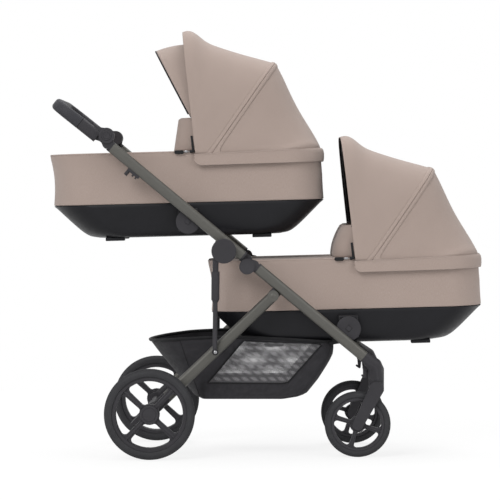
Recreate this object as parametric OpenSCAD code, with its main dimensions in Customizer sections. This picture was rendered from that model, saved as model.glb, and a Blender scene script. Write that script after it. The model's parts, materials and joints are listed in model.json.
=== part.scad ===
// Twin pram: a folding chassis on four wheels that carries two cots, one above and behind the other.
// The front of the pram points along +X, its left side along +Y, and it stands on Z = 0.

/* [Frame] */
// Distance from the middle of the pram to the centre of a side tube
frame_half_w = 250; // [240:1:260]
// Slope of the push tubes and the front tubes
tube_angle = 39.7; // [38:0.1:41]
// Width of a side tube, seen from the side
tube_w = 35; // [30:0.5:36]
// Thickness of a side tube, across the pram
tube_d = 24; // [20:0.5:26]
// Wall of the tubes
tube_wall = 1.8; // [1.2:0.1:3]
// Place of the fold hinge along the pram
fold_x = -63; // [-73:0.5:-53]
// Height of the fold hinge
fold_z = 614; // [605:1:625]
// Distance from the fold hinge up to the line of the tubes
fold_offset = 17; // [15:0.5:20]
// Distance along the line from the fold hinge to each tube end
tube_gap = 32; // [30:0.5:36]
// Length of a push tube
push_tube_l = 541; // [520:1:560]
// Length of a front tube
front_tube_l = 440; // [430:1:450]
// Radius of the fold hinge discs
fold_disc_r = 25; // [22:0.5:27]
// Radius of the cross tube between the front tubes
cross_tube_r = 11; // [8:0.5:12]

/* [Rear legs] */
// Width of a rear leg, seen from the side
leg_w = 36; // [30:0.5:38]
// Distance along the tubes from the fold hinge to the leg pivot
leg_pivot_along = 124; // [115:1:132]
// Place of the rear axle along the pram
rear_axle_x = -373; // [-383:1:-363]
// Radius of the cross tube between the rear legs
axle_tube_r = 12; // [9:0.5:14]
// Distance from the leg pivot to the strut's foot
strut_foot_along = 256; // [245:1:265]
// Radius of the round cover over the strut's head
strut_disc_r = 39.5; // [34:0.5:42]
// Radius of the strut's sleeve
strut_sleeve_r = 13; // [11:0.5:14]
// Radius of the strut's rod
strut_rod_r = 7.5; // [6:0.25:8]

/* [Wheels] */
// Radius of a rear wheel
rear_wheel_r = 145; // [138:1:150]
// Width of a rear tyre
rear_tyre_w = 44; // [38:1:46]
// Radius of a front wheel
front_wheel_r = 106; // [100:1:108]
// Width of a front tyre
front_tyre_w = 36; // [32:1:36]
// Place of the swivel axis along the pram
caster_x = 352; // [347:1:357]
// Distance from the middle of a tube in to a swivel axis
caster_in = 42; // [41:1:50]
// Distance that a front axle trails its swivel axis
caster_trail = 60; // [50:1:64]
// Spokes in each wheel
spokes = 4; // [3:1:6]

/* [Handle] */
// Distance from the handle hinge to the middle of the grip
handle_reach = 189; // [180:1:198]
// Angle of the handle above the horizontal
handle_angle = 38.5; // [34:0.5:43]
// Radius of the handle hinge discs
handle_hub_r = 25; // [23:0.5:27]
// Height of the grip's section
grip_h = 40; // [34:1:42]
// Thickness of the grip's section
grip_d = 26; // [22:1:28]

/* [Cots] */
// Length of a cot at its rim
cot_l = 880; // [858:2:888]
// Room between the side of a cot and the tubes
cot_side_gap = 38; // [37:0.5:43]
// Height of a cot's moulded base
cot_base_h = 107; // [100:1:112]
// Height of a cot's fabric side
cot_side_h = 164; // [155:1:175]
// Thickness of a cot's padded side
cot_wall = 12; // [8:0.5:16]
// Tilt of the cots, head end up
cot_tilt = 1.5; // [0:0.1:2.5]
// Distance along the tubes from the fold hinge to the upper cot's adapter
upper_adapter_along = -236; // [-246:1:-226]
// Distance along the tubes from the fold hinge to the lower cot's adapter
lower_adapter_along = 377.5; // [370:0.5:385]
// Radius of the cot adapters
adapter_r = 39; // [35:0.5:40]
// Thickness of a mattress
mattress_t = 40; // [30:1:50]

/* [Hoods] */
// Reach of a hood at its middle hoop, from its pivot
hoop_reach = 413; // [400:1:420]
// Reach of a hood at its front bow, from its pivot
bow_reach = 412; // [400:1:420]
// How far the hood cloth draws in between its hoops
hood_sag = 26; // [15:1:30]
// Height of the padded roll on the bow
hood_roll = 30; // [10:1:34]
// Depth of the skirt that joins a hood to its cot
skirt_h = 42; // [34:1:48]
// Angle that a sun visor opens out of its hood
visor_angle = 22; // [16:1:24]

/* [Basket] */
// Room between the inner face of the basket's side and the tubes
basket_side_gap = 48; // [40:1:58]
// Height of the basket's floor
basket_floor_z = 186; // [180:1:195]
// Height of the basket's rear rim
basket_rim_z = 378; // [370:1:384]
// Openings along the net in each side of the basket
net_columns = 16; // [10:1:16]
// Openings up the net in each side of the basket
net_rows = 9; // [5:1:9]

/* [Hidden] */
$fn = 48;

// Colours
metal_colour = [0.36, 0.36, 0.34];
plastic_colour = [0.24, 0.24, 0.25];
base_colour = [0.17, 0.17, 0.18];
tyre_colour = [0.25, 0.25, 0.26];
grip_colour = [0.22, 0.22, 0.24];
fabric_colour = [0.66, 0.59, 0.55];
net_colour = [0.42, 0.42, 0.42];
lining_colour = [0.86, 0.85, 0.82];

// Clearances
running_gap = 0.05;
part_gap = 0.3;
loose_gap = 0.6;
overrun = 1;

// Planes across the pram, all for the left side
tube_in = frame_half_w - tube_d/2;
tube_out = frame_half_w + tube_d/2;
hinge_split = frame_half_w;
hinge_disc_rise = 4.5;
hinge_out = tube_out + hinge_disc_rise;

// Frame points as [x, z]; along is down the tubes to the front, off is square to them and up
function tube_pt(along, off) =
  [fold_x + along*cos(tube_angle) + off*sin(tube_angle),
   fold_z - along*sin(tube_angle) + off*cos(tube_angle)];
hub_rise = 18.3;
hub_setback = 37;
hub_along = -tube_gap - push_tube_l - hub_setback;
hub_p = tube_pt(hub_along, fold_offset + hub_rise);
front_end_along = tube_gap + front_tube_l;
leg_drop = tube_w/2 + leg_w/2 + loose_gap;
leg_p = tube_pt(leg_pivot_along, fold_offset - leg_drop);
axle_p = [rear_axle_x, rear_wheel_r];
leg_v = axle_p - leg_p;
leg_l = norm(leg_v);
leg_dir = leg_v/leg_l;
leg_turn = atan2(-leg_v[1], leg_v[0]);

// Hinge and tube end fittings
spigot_l = 25;
spigot_gap = 0.2;
pin_r = 7;
leg_pin_r = 6;
bracket_t = 8;
hub_block_l = 9;
disc_step = 1;
knuckle_r = fold_disc_r - disc_step;
knuckle_block_l = 6;

// Handle
handle_eye_r = handle_hub_r - disc_step;
handle_seam = 91;
handle_bend_r = 60;
handle_core_r = 9;
handle_core_gap = 0.2;
arm_out = hinge_split - part_gap;
arm_mid = arm_out - grip_d/2;
arm_start = 22;
arm_drop = 21.5;
arm_web_t = 13;
button_r = 16;
button_t = 6;
button_proud = 2;
button_travel = 3;
button_seat = hinge_out + button_proud - button_t - button_travel;

// Rear axle and brake
leg_end_r = 24;
leg_end_l = 76;
stub_r = 6;
wheel_gap = 4;
rear_wheel_y = tube_out + wheel_gap + rear_tyre_w/2;
brake_sleeve_wall = 4;
brake_half_w = 55;
pedal_reach = 92;
pedal_angle = 40;
pedal_t = 9;
pedal_half_w = 38;
brake_running_gap = 0.1;

// Wheels
rear_hub_r = 27;
rear_cap_r = 29.5;
rear_cap_t = 4;
rear_seat_drop = 26;
rear_rim_t = 10;
rear_spoke_w = 17;
front_hub_r = 20;
front_seat_drop = 21;
front_rim_t = 7;
front_spoke_w = 13;
front_bore_r = 5;
rim_w_share = 0.76;
hub_w_share = 0.8;
spoke_t_share = 0.5;
spoke_root_share = 0.86;
spoke_tip_share = 1.25;
ridge_w_share = 0.45;
ridge_t = 3;
rear_spoke_turn = -47;
front_spoke_turn = 17;

// Casters
caster_r = 24.5;
caster_half_w = frame_half_w - caster_in;
elbow_lead = 7;
elbow_side = 18;
caster_top_z = 285;
caster_joint_z = 246;
crown_h = 33;
stem_r = 9;
stem_l = 34;
fork_arm_t = 8;
fork_gap = 3;
fork_arm_top_r = 23;
fork_boss_r = 17;
elbow_bend_x = caster_x - elbow_lead;
elbow_bend_z = 297;
elbow_bend_y = caster_half_w + elbow_side;
elbow_bend_r = 23.5;
lock_w = 16;
lock_pivot_r = 4;
lock_back = 12;
lock_x = caster_x - caster_r - lock_back;
lock_z = 288;
lock_l = 30;
lock_t = 9;
lock_ear_w = 5;
lock_ear_r = 8;

// Strut
strut_head_along = -88.5;
strut_head_off = -8.5;
strut_head_p = tube_pt(strut_head_along, strut_head_off);
strut_foot_p = leg_p + leg_dir*strut_foot_along;
strut_v = strut_foot_p - strut_head_p;
strut_side = 26;
strut_reach = sqrt(strut_v*strut_v - strut_side*strut_side);
strut_turn = atan2(-strut_v[1], strut_v[0]) - asin(strut_side/norm(strut_v));
strut_plate_t = 4.4;
strut_neck_r = 9.5;
strut_room = 1;
strut_axis_y = tube_out + strut_sleeve_r + strut_room;
strut_head_in = tube_out + strut_plate_t + part_gap;
strut_head_out = strut_axis_y + strut_neck_r;
strut_eye_r = 17;
strut_pin_r = 8;
strut_cover_t = 6;
strut_neck_l = 66;
strut_sleeve_l = 88;
strut_taper_l = 9;
strut_plate_r = 12;
rod_eye_r = 9.5;
rod_eye_rise = 0.5;
rod_in = 60;
rod_gap = 0.1;
screw_r = 5;
screw_t = 1.5;

// Cot adapters
adapter_t = 13.5;
upper_adapter_off = -10.5;
lower_adapter_off = 54;
upper_cot_p = tube_pt(upper_adapter_along, upper_adapter_off);
lower_cot_p = tube_pt(lower_adapter_along, lower_adapter_off);
adapter_in = tube_in - part_gap - adapter_t;
tongue_w = 30;
tongue_h = 36;
tongue_tip_share = 0.6;
tongue_drop = 18;
socket_w = 64;
socket_up = 42;
socket_down = 30;
socket_out = adapter_in - part_gap;
tongue_l = 20.2;
tongue_in = adapter_in - tongue_l;
slot_gap = 1;
release_w = 15;
release_t = 5;
release_proud = 1.5;
release_travel = 3;

// Accessory clip
clip_drop = 105;
clip_along = clip_drop - tube_gap - push_tube_l;
clip_l = 46;
clip_t = 7;
clip_bite = 4;
clip_peg_r = 6;
clip_peg_l = 16;
clip_w = 14;
clip_tooth = 6;

// Cot outline, from the adapter's centre
cot_head_x = 433;
cot_foot_x = cot_head_x - cot_l;
cot_half_w = tube_in - cot_side_gap;
socket_bite = 22;
socket_in = cot_half_w - socket_bite;
cot_floor_z = -47.5;
cot_waist_z = cot_floor_z + cot_base_h;
cot_rim_z = cot_waist_z + cot_side_h;
cot_corner_r = 130;
cot_waist_in = 8;
cot_head_out = 6;
base_wall = 7;
base_end_in = 140;
base_side_in = 34;
base_end_shares = [1, 0.786, 0.53, 0];
base_side_shares = [1, 0.47, 0.12, 0];
base_drop_shares = [1, 0.925, 0.67, 0];
base_rim_w = 45;
foot_l = 62;
foot_w = 34;
foot_h = 10;
foot_lead = 5;
foot_in = 203;
foot_mid_x = cot_head_x - cot_l/2 + foot_lead;
foot_reach = cot_l/2 - foot_in;
mattress_gap = 5;
mattress_crown = 8;
apron_t = 6;
apron_edge = 6;
apron_end_x = 12;
apron_front_r = 10;
collar_foot_x = -42;
collar_lean = 18;
collar_h = 104;
collar_in = 16;
collar_half_w = cot_half_w - collar_in;
collar_wing_l = 78;
collar_t = 4;
collar_r = 60;
collar_steps = 4;
arc_steps = 6;

// Hood, from the adapter's centre
hood_x = 31;
hood_z = 187;
hood_t = 3;
hoop_t = 2.5;
bow_gap = 0.7;
bow_layer = cot_half_w + bow_gap;
hoop_layer = bow_layer + hoop_t + part_gap;
hood_half_w = hoop_layer + hoop_t + part_gap + hood_t;
hood_lift = 36.8;
hood_rear_a = 7;
hood_rear_reach = 402;
hoop_a = 50.2;
bow_a = 91.5;
front_a = 95.5;
roll_a = 92.2;
roll_width_a = 5;
cloth_split_a = 0.03;
skirt_front_x = 20;
hoop_half_a = 1.5;
hoop_inset = 8;
eye_r = 15;
hood_pin_r = 5;
hood_side_share = 0.5;
hood_top_share = 0.7;
arch_steps = 20;
rear_steps = 8;
front_steps = 14;
visor_along = 143;
visor_x = hood_x + visor_along*cos(bow_a);
visor_z = hood_z + visor_along*sin(bow_a);
visor_reach = 243;
visor_flare = 15;
visor_base_a = 96.5;
visor_t = 2.5;
visor_room = 3.5;
visor_half_w = cot_half_w - visor_room;
visor_side_share = 0.62;
visor_top_share = 1.3;
visor_lift = 11;
visor_eye_r = 12;
visor_boss_r = 10;
visor_pin_r = 4;
visor_steps = 6;

// Basket profile, as [x, z]
basket_t = 4;
basket_half_w = tube_in - basket_side_gap;
basket_rear_x = -374;
basket_front_x = 222;
basket_front_z = 346;
basket_mid_rim_z = 372;
basket_floor_rear_x = -219;
basket_floor_front_x = 73;
basket_nose_x = 141;
basket_nose_z = 202;
basket_back_x = -297;
basket_back_z = 286;
basket_profile = [
  [basket_rear_x, basket_rim_z], [basket_back_x, basket_back_z], [basket_floor_rear_x, basket_floor_z],
  [basket_floor_front_x, basket_floor_z], [basket_nose_x, basket_nose_z], [basket_front_x, basket_front_z]];
net_rear_x = -189;
net_floor_front_x = 66;
net_front_x = 179;
net_top_rear_x = -75;
net_foot = 50;
net_head = 8;
net_floor_z = basket_floor_z + net_foot;
net_top_z = basket_mid_rim_z - net_head;
net_outline = [[net_rear_x, net_floor_z], [net_floor_front_x, net_floor_z],
  [net_front_x, net_top_z], [net_top_rear_x, net_top_z]];
basket_side_outline = concat(basket_profile,
  [[basket_front_x, basket_mid_rim_z], [net_top_rear_x, basket_mid_rim_z]]);
net_gap_share = 0.66;
net_shift_share = 0.25;
net_t = 2;
tab_r = 6;
front_tab_along = 388;
rear_tab_along = 240;

// Placing helpers

// A flat shape drawn in X and Z, given thickness from y0 to y1
module across(y0, y1) {
  translate([0, y1, 0]) rotate([90, 0, 0]) linear_extrude(y1 - y0) children();
}
module both_sides() {
  children();
  mirror([0, 1, 0]) children();
}
module on_side(side) {
  if (side == "left") children();
  else mirror([0, 1, 0]) children();
}
module at_fold() {
  translate([fold_x, 0, fold_z]) rotate([0, tube_angle, 0]) children();
}
module at_leg() {
  translate([leg_p[0], 0, leg_p[1]]) rotate([0, leg_turn, 0]) children();
}
module at_hub() {
  translate([hub_p[0], 0, hub_p[1]]) rotate([0, 180 + handle_angle, 0]) children();
}
module at_strut() {
  translate([strut_head_p[0], 0, strut_head_p[1]]) rotate([0, strut_turn, 0]) children();
}
module at_cot(p) {
  translate([p[0], 0, p[1]]) rotate([0, -cot_tilt, 0]) children();
}
// A bar along Y between y0 and y1
module y_rod(r, y0, y1) {
  translate([0, y0, 0]) rotate([-90, 0, 0]) cylinder(r = r, h = y1 - y0);
}

// Flat shapes

// Two discs joined by their outer tangents
module link2d(p1, r1, p2, r2) {
  v = p2 - p1;
  a = atan2(v[1], v[0]);
  b = acos((r1 - r2)/norm(v));
  function edge(p, r, t) = p + r*[cos(t), sin(t)];
  translate(p1) circle(r1);
  translate(p2) circle(r2);
  polygon([edge(p1, r1, a + b), edge(p1, r1, a - b), edge(p2, r2, a - b), edge(p2, r2, a + b)]);
}
// A slot shape: w by d with round ends on the long axis X
module slot2d(w, d) {
  square([w - d, d], center = true);
  for (s = [-1, 1]) translate([s*(w - d)/2, 0]) circle(d/2);
}
// A tube of slot section along X from x0 to x1, its wide side along Z
module slot_bar(w, d, x0, x1) {
  translate([x0, 0, 0]) rotate([90, 0, 90]) linear_extrude(x1 - x0) rotate(90) slot2d(w, d);
}
module slot_tube(w, d, wall, x0, x1) {
  difference() {
    slot_bar(w, d, x0, x1);
    slot_bar(w - 2*wall, d - 2*wall, x0 - overrun, x1 + overrun);
  }
}

// A plug that fits inside a side tube
module spigot(w, x0, x1) {
  inset = 2*(tube_wall + spigot_gap);
  slot_bar(w - inset, tube_d - inset, x0, x1);
}

// Lofted shapes, from rings of points

function flatten(rings) = [for (ring = rings, p = ring) p];
function side_faces(m, n, closed) = [
  for (k = [0 : closed ? m - 1 : m - 2], i = [0 : n - 1], t = [0, 1])
    let (a = k*n + i, b = k*n + (i + 1)%n, c = ((k + 1)%m)*n + (i + 1)%n, d = ((k + 1)%m)*n + i)
    t == 0 ? [a, d, c] : [a, c, b]];
function fan_cap(first, n, up) = [
  for (i = [1 : n - 2]) up ? [first, first + i + 1, first + i] : [first, first + i, first + i + 1]];
// The cap of a ring whose first half is an outer line and whose second half is the inner line, run back
function strip_cap(first, n, up) = [
  for (i = [0 : n/2 - 2], t = [0, 1])
    let (a = first + i, b = first + i + 1, c = first + n - 2 - i, d = first + n - 1 - i)
    up ? (t == 0 ? [a, c, b] : [a, d, c]) : (t == 0 ? [a, b, c] : [a, c, d])];
module loft_solid(rings) {
  m = len(rings);
  n = len(rings[0]);
  polyhedron(flatten(rings),
    concat(side_faces(m, n, false), fan_cap(0, n, false), fan_cap((m - 1)*n, n, true)));
}
module loft_wall(rings) {
  polyhedron(flatten(rings), side_faces(len(rings), len(rings[0]), true));
}
module loft_strip(rings) {
  m = len(rings);
  n = len(rings[0]);
  polyhedron(flatten(rings),
    concat(side_faces(m, n, false), strip_cap(0, n, false), strip_cap((m - 1)*n, n, true)));
}
// A rounded rectangle at height z, with corner radius r0 at x0 and r1 at x1
function round_ring(x0, x1, half_w, r0, r1, z) = [
  for (c = [0 : 3], i = [0 : arc_steps])
    let (a = 90*c + 90*i/arc_steps, front = c == 0 || c == 3, r = front ? r1 : r0,
      cx = front ? x1 - r : x0 + r, cy = c < 2 ? half_w - r : r - half_w)
    [cx + r*cos(a), cy + r*sin(a), z]];

// Chassis

module front_tubes() {
  color(metal_colour) both_sides() translate([0, frame_half_w, 0]) at_fold() translate([0, 0, fold_offset])
    slot_tube(tube_w, tube_d, tube_wall, tube_gap, front_end_along);
}

module front_elbow() {
  difference() {
    union() {
      hull() {
        translate([0, frame_half_w, 0]) at_fold() translate([0, 0, fold_offset])
          slot_bar(tube_w, tube_d, front_end_along, front_end_along + overrun, $fn = 32);
        translate([elbow_bend_x, elbow_bend_y, elbow_bend_z]) sphere(elbow_bend_r, $fn = 32);
      }
      hull() {
        translate([elbow_bend_x, elbow_bend_y, elbow_bend_z]) sphere(elbow_bend_r, $fn = 32);
        translate([caster_x, caster_half_w, caster_joint_z])
          cylinder(r = caster_r, h = caster_top_z - caster_joint_z, $fn = 32);
      }
      translate([0, frame_half_w, 0]) at_fold() translate([0, 0, fold_offset])
        spigot(tube_w, front_end_along - spigot_l, front_end_along + overrun);
      translate([caster_x, caster_half_w, caster_joint_z])
        cylinder(r = caster_r, h = caster_top_z - caster_joint_z);
      for (s = [-1, 1]) translate([0, caster_half_w + s*(lock_w/2 + part_gap + lock_ear_w/2), 0])
        across(-lock_ear_w/2, lock_ear_w/2)
          link2d([lock_x, lock_z], lock_ear_r, [caster_x - stem_r, lock_z], lock_ear_r);
    }
    translate([caster_x, caster_half_w, caster_joint_z - overrun])
      cylinder(r = stem_r + running_gap, h = stem_l + 2*overrun);
    translate([lock_x, caster_half_w, lock_z])
      y_rod(lock_pivot_r + running_gap, -lock_w - lock_ear_w, lock_w + lock_ear_w);
  }
}
module front_elbows() { color(plastic_colour) both_sides() front_elbow(); }

module hinge_sockets() {
  color(plastic_colour) both_sides() at_fold() difference() {
    union() {
      across(hinge_split + part_gap, hinge_out) circle(fold_disc_r);
      across(hinge_split + part_gap, tube_out)
        link2d([0, 0], knuckle_r, [tube_gap - tube_w/2, fold_offset], tube_w/2 - disc_step);
      translate([0, frame_half_w, fold_offset])
        slot_bar(tube_w, tube_d, tube_gap - knuckle_block_l, tube_gap);
      translate([0, frame_half_w, fold_offset])
        spigot(tube_w, tube_gap - overrun, tube_gap + spigot_l);
    }
    y_rod(pin_r + running_gap, hinge_split - overrun, hinge_out - overrun);
  }
}

module leg_brackets() {
  tube_spot = tube_pt(leg_pivot_along, fold_offset) - leg_p;
  color(plastic_colour) both_sides() translate([leg_p[0], 0, leg_p[1]]) {
    across(tube_in - part_gap - bracket_t, tube_in - part_gap)
      link2d([0, 0], leg_w/2 - disc_step, tube_spot, tube_w/2 - disc_step);
    y_rod(leg_pin_r, tube_in - part_gap - bracket_t, tube_out - overrun);
  }
}

module front_crossbar() {
  spot = tube_pt(front_end_along - spigot_l - cross_tube_r, fold_offset);
  color(metal_colour) translate([spot[0], 0, spot[1]]) difference() {
    y_rod(cross_tube_r, -tube_in + part_gap, tube_in - part_gap);
    y_rod(cross_tube_r - tube_wall, -tube_in, tube_in);
  }
}

// A cot adapter: a round plate on the tube, with a tongue that the cot's socket drops over
module adapter_pair(p) {
  color(plastic_colour) both_sides() difference() {
    union() {
      translate([p[0], 0, p[1]]) across(adapter_in, tube_in - part_gap) circle(adapter_r);
      at_cot(p) across(tongue_in, adapter_in + overrun) polygon([
        [-tongue_w/2, -tongue_drop], [tongue_w/2, -tongue_drop],
        [tongue_tip_share*tongue_w/2, tongue_h - tongue_drop],
        [-tongue_tip_share*tongue_w/2, tongue_h - tongue_drop]]);
    }
    translate([p[0], 0, p[1]]) rotate([0, tube_angle, 0])
      across(tube_in - part_gap - release_t - release_travel, tube_in + overrun)
        square(release_w + 2*part_gap, center = true);
  }
}
module release_button(p) {
  color(plastic_colour) translate([p[0], 0, p[1]]) rotate([0, tube_angle, 0])
    across(tube_in - part_gap - release_t, tube_in - part_gap + release_proud)
      square(release_w, center = true);
}

// Basket under the cots

module basket_tray() {
  inner = basket_half_w;
  color(base_colour) {
    across(-inner, inner) basket_line();
    both_sides() across(inner, inner + basket_t) difference() {
      union() {
        polygon(basket_side_outline);
        basket_line();
      }
      polygon(net_outline);
    }
    both_sides() across(inner + basket_t - overrun, tube_in - part_gap) {
      link2d([basket_front_x, basket_mid_rim_z - tab_r], tab_r,
        tube_pt(front_tab_along, fold_offset - tube_w/4), tab_r);
      translate(leg_p + leg_dir*rear_tab_along) circle(tab_r);
    }
  }
}
// The line of the basket's back, floor and front, seen from the side
module basket_line() {
  for (i = [0 : len(basket_profile) - 2])
    link2d(basket_profile[i], basket_t/2, basket_profile[i + 1], basket_t/2);
}
module basket_mesh() {
  mid = basket_half_w + basket_t/2;
  color(net_colour) both_sides() across(mid - net_t/2, mid + net_t/2) difference() {
    polygon(net_outline);
    for (row = [0 : net_rows - 1], column = [0 : net_columns - 1]) net_hole(row, column);
  }
}
// One opening of the net, between the slanting ends of its outline
module net_hole(row, column) {
  v = (row + 0.5)/net_rows;
  u = (column + 0.5 + net_shift_share*(row%2 == 0 ? -1 : 1))/net_columns;
  x0 = net_rear_x + v*(net_top_rear_x - net_rear_x);
  x1 = net_floor_front_x + v*(net_front_x - net_floor_front_x);
  pitch_x = (x1 - x0)/net_columns;
  pitch_z = (net_top_z - net_floor_z)/net_rows;
  translate([x0 + u*(x1 - x0), net_floor_z + v*(net_top_z - net_floor_z)])
    square([net_gap_share*pitch_x, net_gap_share*pitch_z], center = true);
}

// Upper frame

module push_tubes() {
  color(metal_colour) both_sides() translate([0, frame_half_w, 0]) at_fold() translate([0, 0, fold_offset])
    slot_tube(tube_w, tube_d, tube_wall, -tube_gap - push_tube_l, -tube_gap);
}

module hinge_knuckles() {
  color(plastic_colour) both_sides() at_fold() {
    across(tube_in, hinge_split)
      link2d([0, 0], knuckle_r, [tube_w/2 - tube_gap, fold_offset], tube_w/2 - disc_step);
    translate([0, frame_half_w, fold_offset])
      slot_bar(tube_w, tube_d, -tube_gap, knuckle_block_l - tube_gap);
    translate([0, frame_half_w, fold_offset])
      spigot(tube_w, -tube_gap - spigot_l, overrun - tube_gap);
    y_rod(pin_r, hinge_split - overrun, hinge_out - 2*overrun);
  }
}

module handle_hubs() {
  tube_top = [-tube_gap - push_tube_l, fold_offset];
  hub_spot = [hub_along, fold_offset + hub_rise];
  color(plastic_colour) both_sides() at_fold() difference() {
    union() {
      across(hinge_split, hinge_out) translate(hub_spot) circle(handle_hub_r);
      across(hinge_split, tube_out)
        link2d(hub_spot, handle_eye_r, tube_top - [tube_w/2, 0], tube_w/2 - disc_step);
      translate([0, frame_half_w, fold_offset])
        slot_bar(tube_w, tube_d, tube_top[0] - hub_block_l, tube_top[0]);
      translate([0, frame_half_w, fold_offset])
        spigot(tube_w, tube_top[0] - overrun, tube_top[0] + spigot_l);
      translate([hub_spot[0], 0, hub_spot[1]])
        y_rod(pin_r, arm_out - grip_d + 2*overrun, hinge_split + overrun);
    }
    translate([hub_spot[0], 0, hub_spot[1]])
      y_rod(button_r + part_gap, button_seat - part_gap, hinge_out + overrun);
  }
}

// The bracket, pin and round cover that carry the strut's head under a push tube
module strut_discs() {
  tube_spot = tube_pt(strut_head_along, fold_offset) - strut_head_p;
  color(plastic_colour) both_sides() translate([strut_head_p[0], 0, strut_head_p[1]]) {
    across(tube_out, tube_out + strut_plate_t) link2d([0, 0], strut_plate_r, tube_spot, strut_plate_r);
    y_rod(strut_pin_r, tube_out, strut_head_out + part_gap + overrun);
    across(strut_head_out + part_gap, strut_head_out + part_gap + strut_cover_t) circle(strut_disc_r);
  }
}

module accessory_clips() {
  color(plastic_colour) both_sides() translate([0, frame_half_w, 0]) at_fold()
    translate([clip_along, 0, fold_offset - tube_w/2]) difference() {
      union() {
        across(-clip_w/2, clip_w/2) {
          translate([-clip_l/2, -clip_t]) square([clip_l, clip_t + clip_bite]);
          for (x = [0, 2*clip_tooth]) translate([x, -clip_t - clip_tooth])
            square([clip_tooth, clip_tooth + overrun]);
        }
        translate([clip_peg_r - clip_l/2, 0, -clip_t - clip_peg_l])
          cylinder(r = clip_peg_r, h = clip_peg_l + overrun);
      }
      translate([0, 0, tube_w/2]) slot_bar(tube_w + 2*part_gap, tube_d + 2*part_gap, -clip_l, clip_l);
    }
}

// Handle

// The middle of an arm, which lies under the handle hinge
module at_arm() { translate([0, arm_mid, arm_drop]) children(); }
module handle_bar() {
  core_x = handle_reach - handle_bend_r;
  core_y = arm_mid - handle_bend_r;
  color(plastic_colour) at_hub() {
    both_sides() difference() {
      union() {
        y_rod(handle_eye_r, arm_out - grip_d, arm_out);
        across(arm_mid - arm_web_t/2, arm_mid + arm_web_t/2)
          link2d([0, 0], handle_eye_r, [arm_start + arm_drop, arm_drop], grip_h/2 - disc_step);
        at_arm() slot_bar(grip_h, grip_d, arm_start, handle_seam);
        at_arm() rotate([0, 90, 0]) translate([0, 0, handle_seam - overrun])
          cylinder(r = handle_core_r, h = core_x - handle_seam + overrun);
        translate([core_x, core_y, arm_drop]) rotate_extrude(angle = 90)
          translate([handle_bend_r, 0]) circle(handle_core_r);
      }
      y_rod(pin_r + running_gap, arm_out - grip_d - overrun, arm_out + overrun);
    }
    translate([handle_reach, 0, arm_drop]) y_rod(handle_core_r, -core_y, core_y);
  }
}

module handle_grip() {
  core_x = handle_reach - handle_bend_r;
  core_y = arm_mid - handle_bend_r;
  bore_r = handle_core_r + handle_core_gap;
  color(grip_colour) at_hub() difference() {
    union() {
      both_sides() {
        at_arm() slot_bar(grip_h, grip_d, handle_seam, core_x);
        translate([core_x, core_y, arm_drop]) rotate_extrude(angle = 90)
          translate([handle_bend_r, 0]) rotate(90) slot2d(grip_h, grip_d);
      }
      translate([handle_reach, -core_y, arm_drop]) rotate([0, 0, 90]) slot_bar(grip_h, grip_d, 0, 2*core_y);
    }
    both_sides() {
      at_arm() rotate([0, 90, 0]) translate([0, 0, handle_seam - overrun])
        cylinder(r = bore_r, h = core_x - handle_seam + overrun);
      translate([core_x, core_y, arm_drop]) rotate_extrude(angle = 90)
        translate([handle_bend_r, 0]) circle(bore_r);
    }
    translate([handle_reach, 0, arm_drop]) y_rod(bore_r, -core_y, core_y);
  }
}

module handle_button() {
  color(plastic_colour) translate([hub_p[0], 0, hub_p[1]])
    y_rod(button_r, hinge_out + button_proud - button_t, hinge_out + button_proud);
}

// Rear legs

module rear_legs() {
  color(metal_colour) both_sides() at_leg() difference() {
    union() {
      translate([0, frame_half_w, 0]) slot_tube(leg_w, tube_d, tube_wall, 0, leg_l - leg_end_l);
      across(tube_in, tube_out) circle(leg_w/2);
    }
    y_rod(leg_pin_r + running_gap, tube_in - overrun, tube_out + overrun);
  }
}

// The casting on each leg that holds the axle
module leg_ends() {
  color(plastic_colour) both_sides() at_leg() difference() {
    union() {
      translate([0, frame_half_w, 0]) slot_bar(leg_w, tube_d, leg_l - leg_end_l, leg_l);
      translate([0, frame_half_w, 0])
        spigot(leg_w, leg_l - leg_end_l - spigot_l, leg_l - leg_end_l + overrun);
      translate([leg_l, 0, 0]) y_rod(leg_end_r, tube_in, tube_out);
    }
    translate([leg_l, 0, 0]) y_rod(stub_r + running_gap, tube_in - overrun, tube_out + overrun);
  }
}

module rear_axle() {
  stub_end = rear_wheel_y + hub_w_share*rear_tyre_w/2;
  color(plastic_colour) translate([axle_p[0], 0, axle_p[1]]) {
    y_rod(axle_tube_r, part_gap - tube_in, tube_in - part_gap);
    y_rod(stub_r, -stub_end, stub_end);
  }
}

module brake_pedal() {
  bore_r = axle_tube_r + brake_running_gap;
  color(plastic_colour) translate([axle_p[0], 0, axle_p[1]]) difference() {
    union() {
      y_rod(bore_r + brake_sleeve_wall, -brake_half_w, brake_half_w);
      across(-pedal_half_w, pedal_half_w)
        link2d([0, 0], bore_r + brake_sleeve_wall/2,
          pedal_reach*[-cos(pedal_angle), -sin(pedal_angle)], pedal_t/2);
    }
    y_rod(bore_r, -brake_half_w - overrun, brake_half_w + overrun);
  }
}

// Wheels, drawn about their own axle along Y

module tyre(wheel_r, width, seat_drop) {
  color(tyre_colour) rotate([90, 0, 0]) rotate_extrude() difference() {
    translate([wheel_r - width/2, 0]) circle(width/2);
    translate([0, -width]) square([wheel_r - seat_drop, 2*width]);
  }
}
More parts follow.
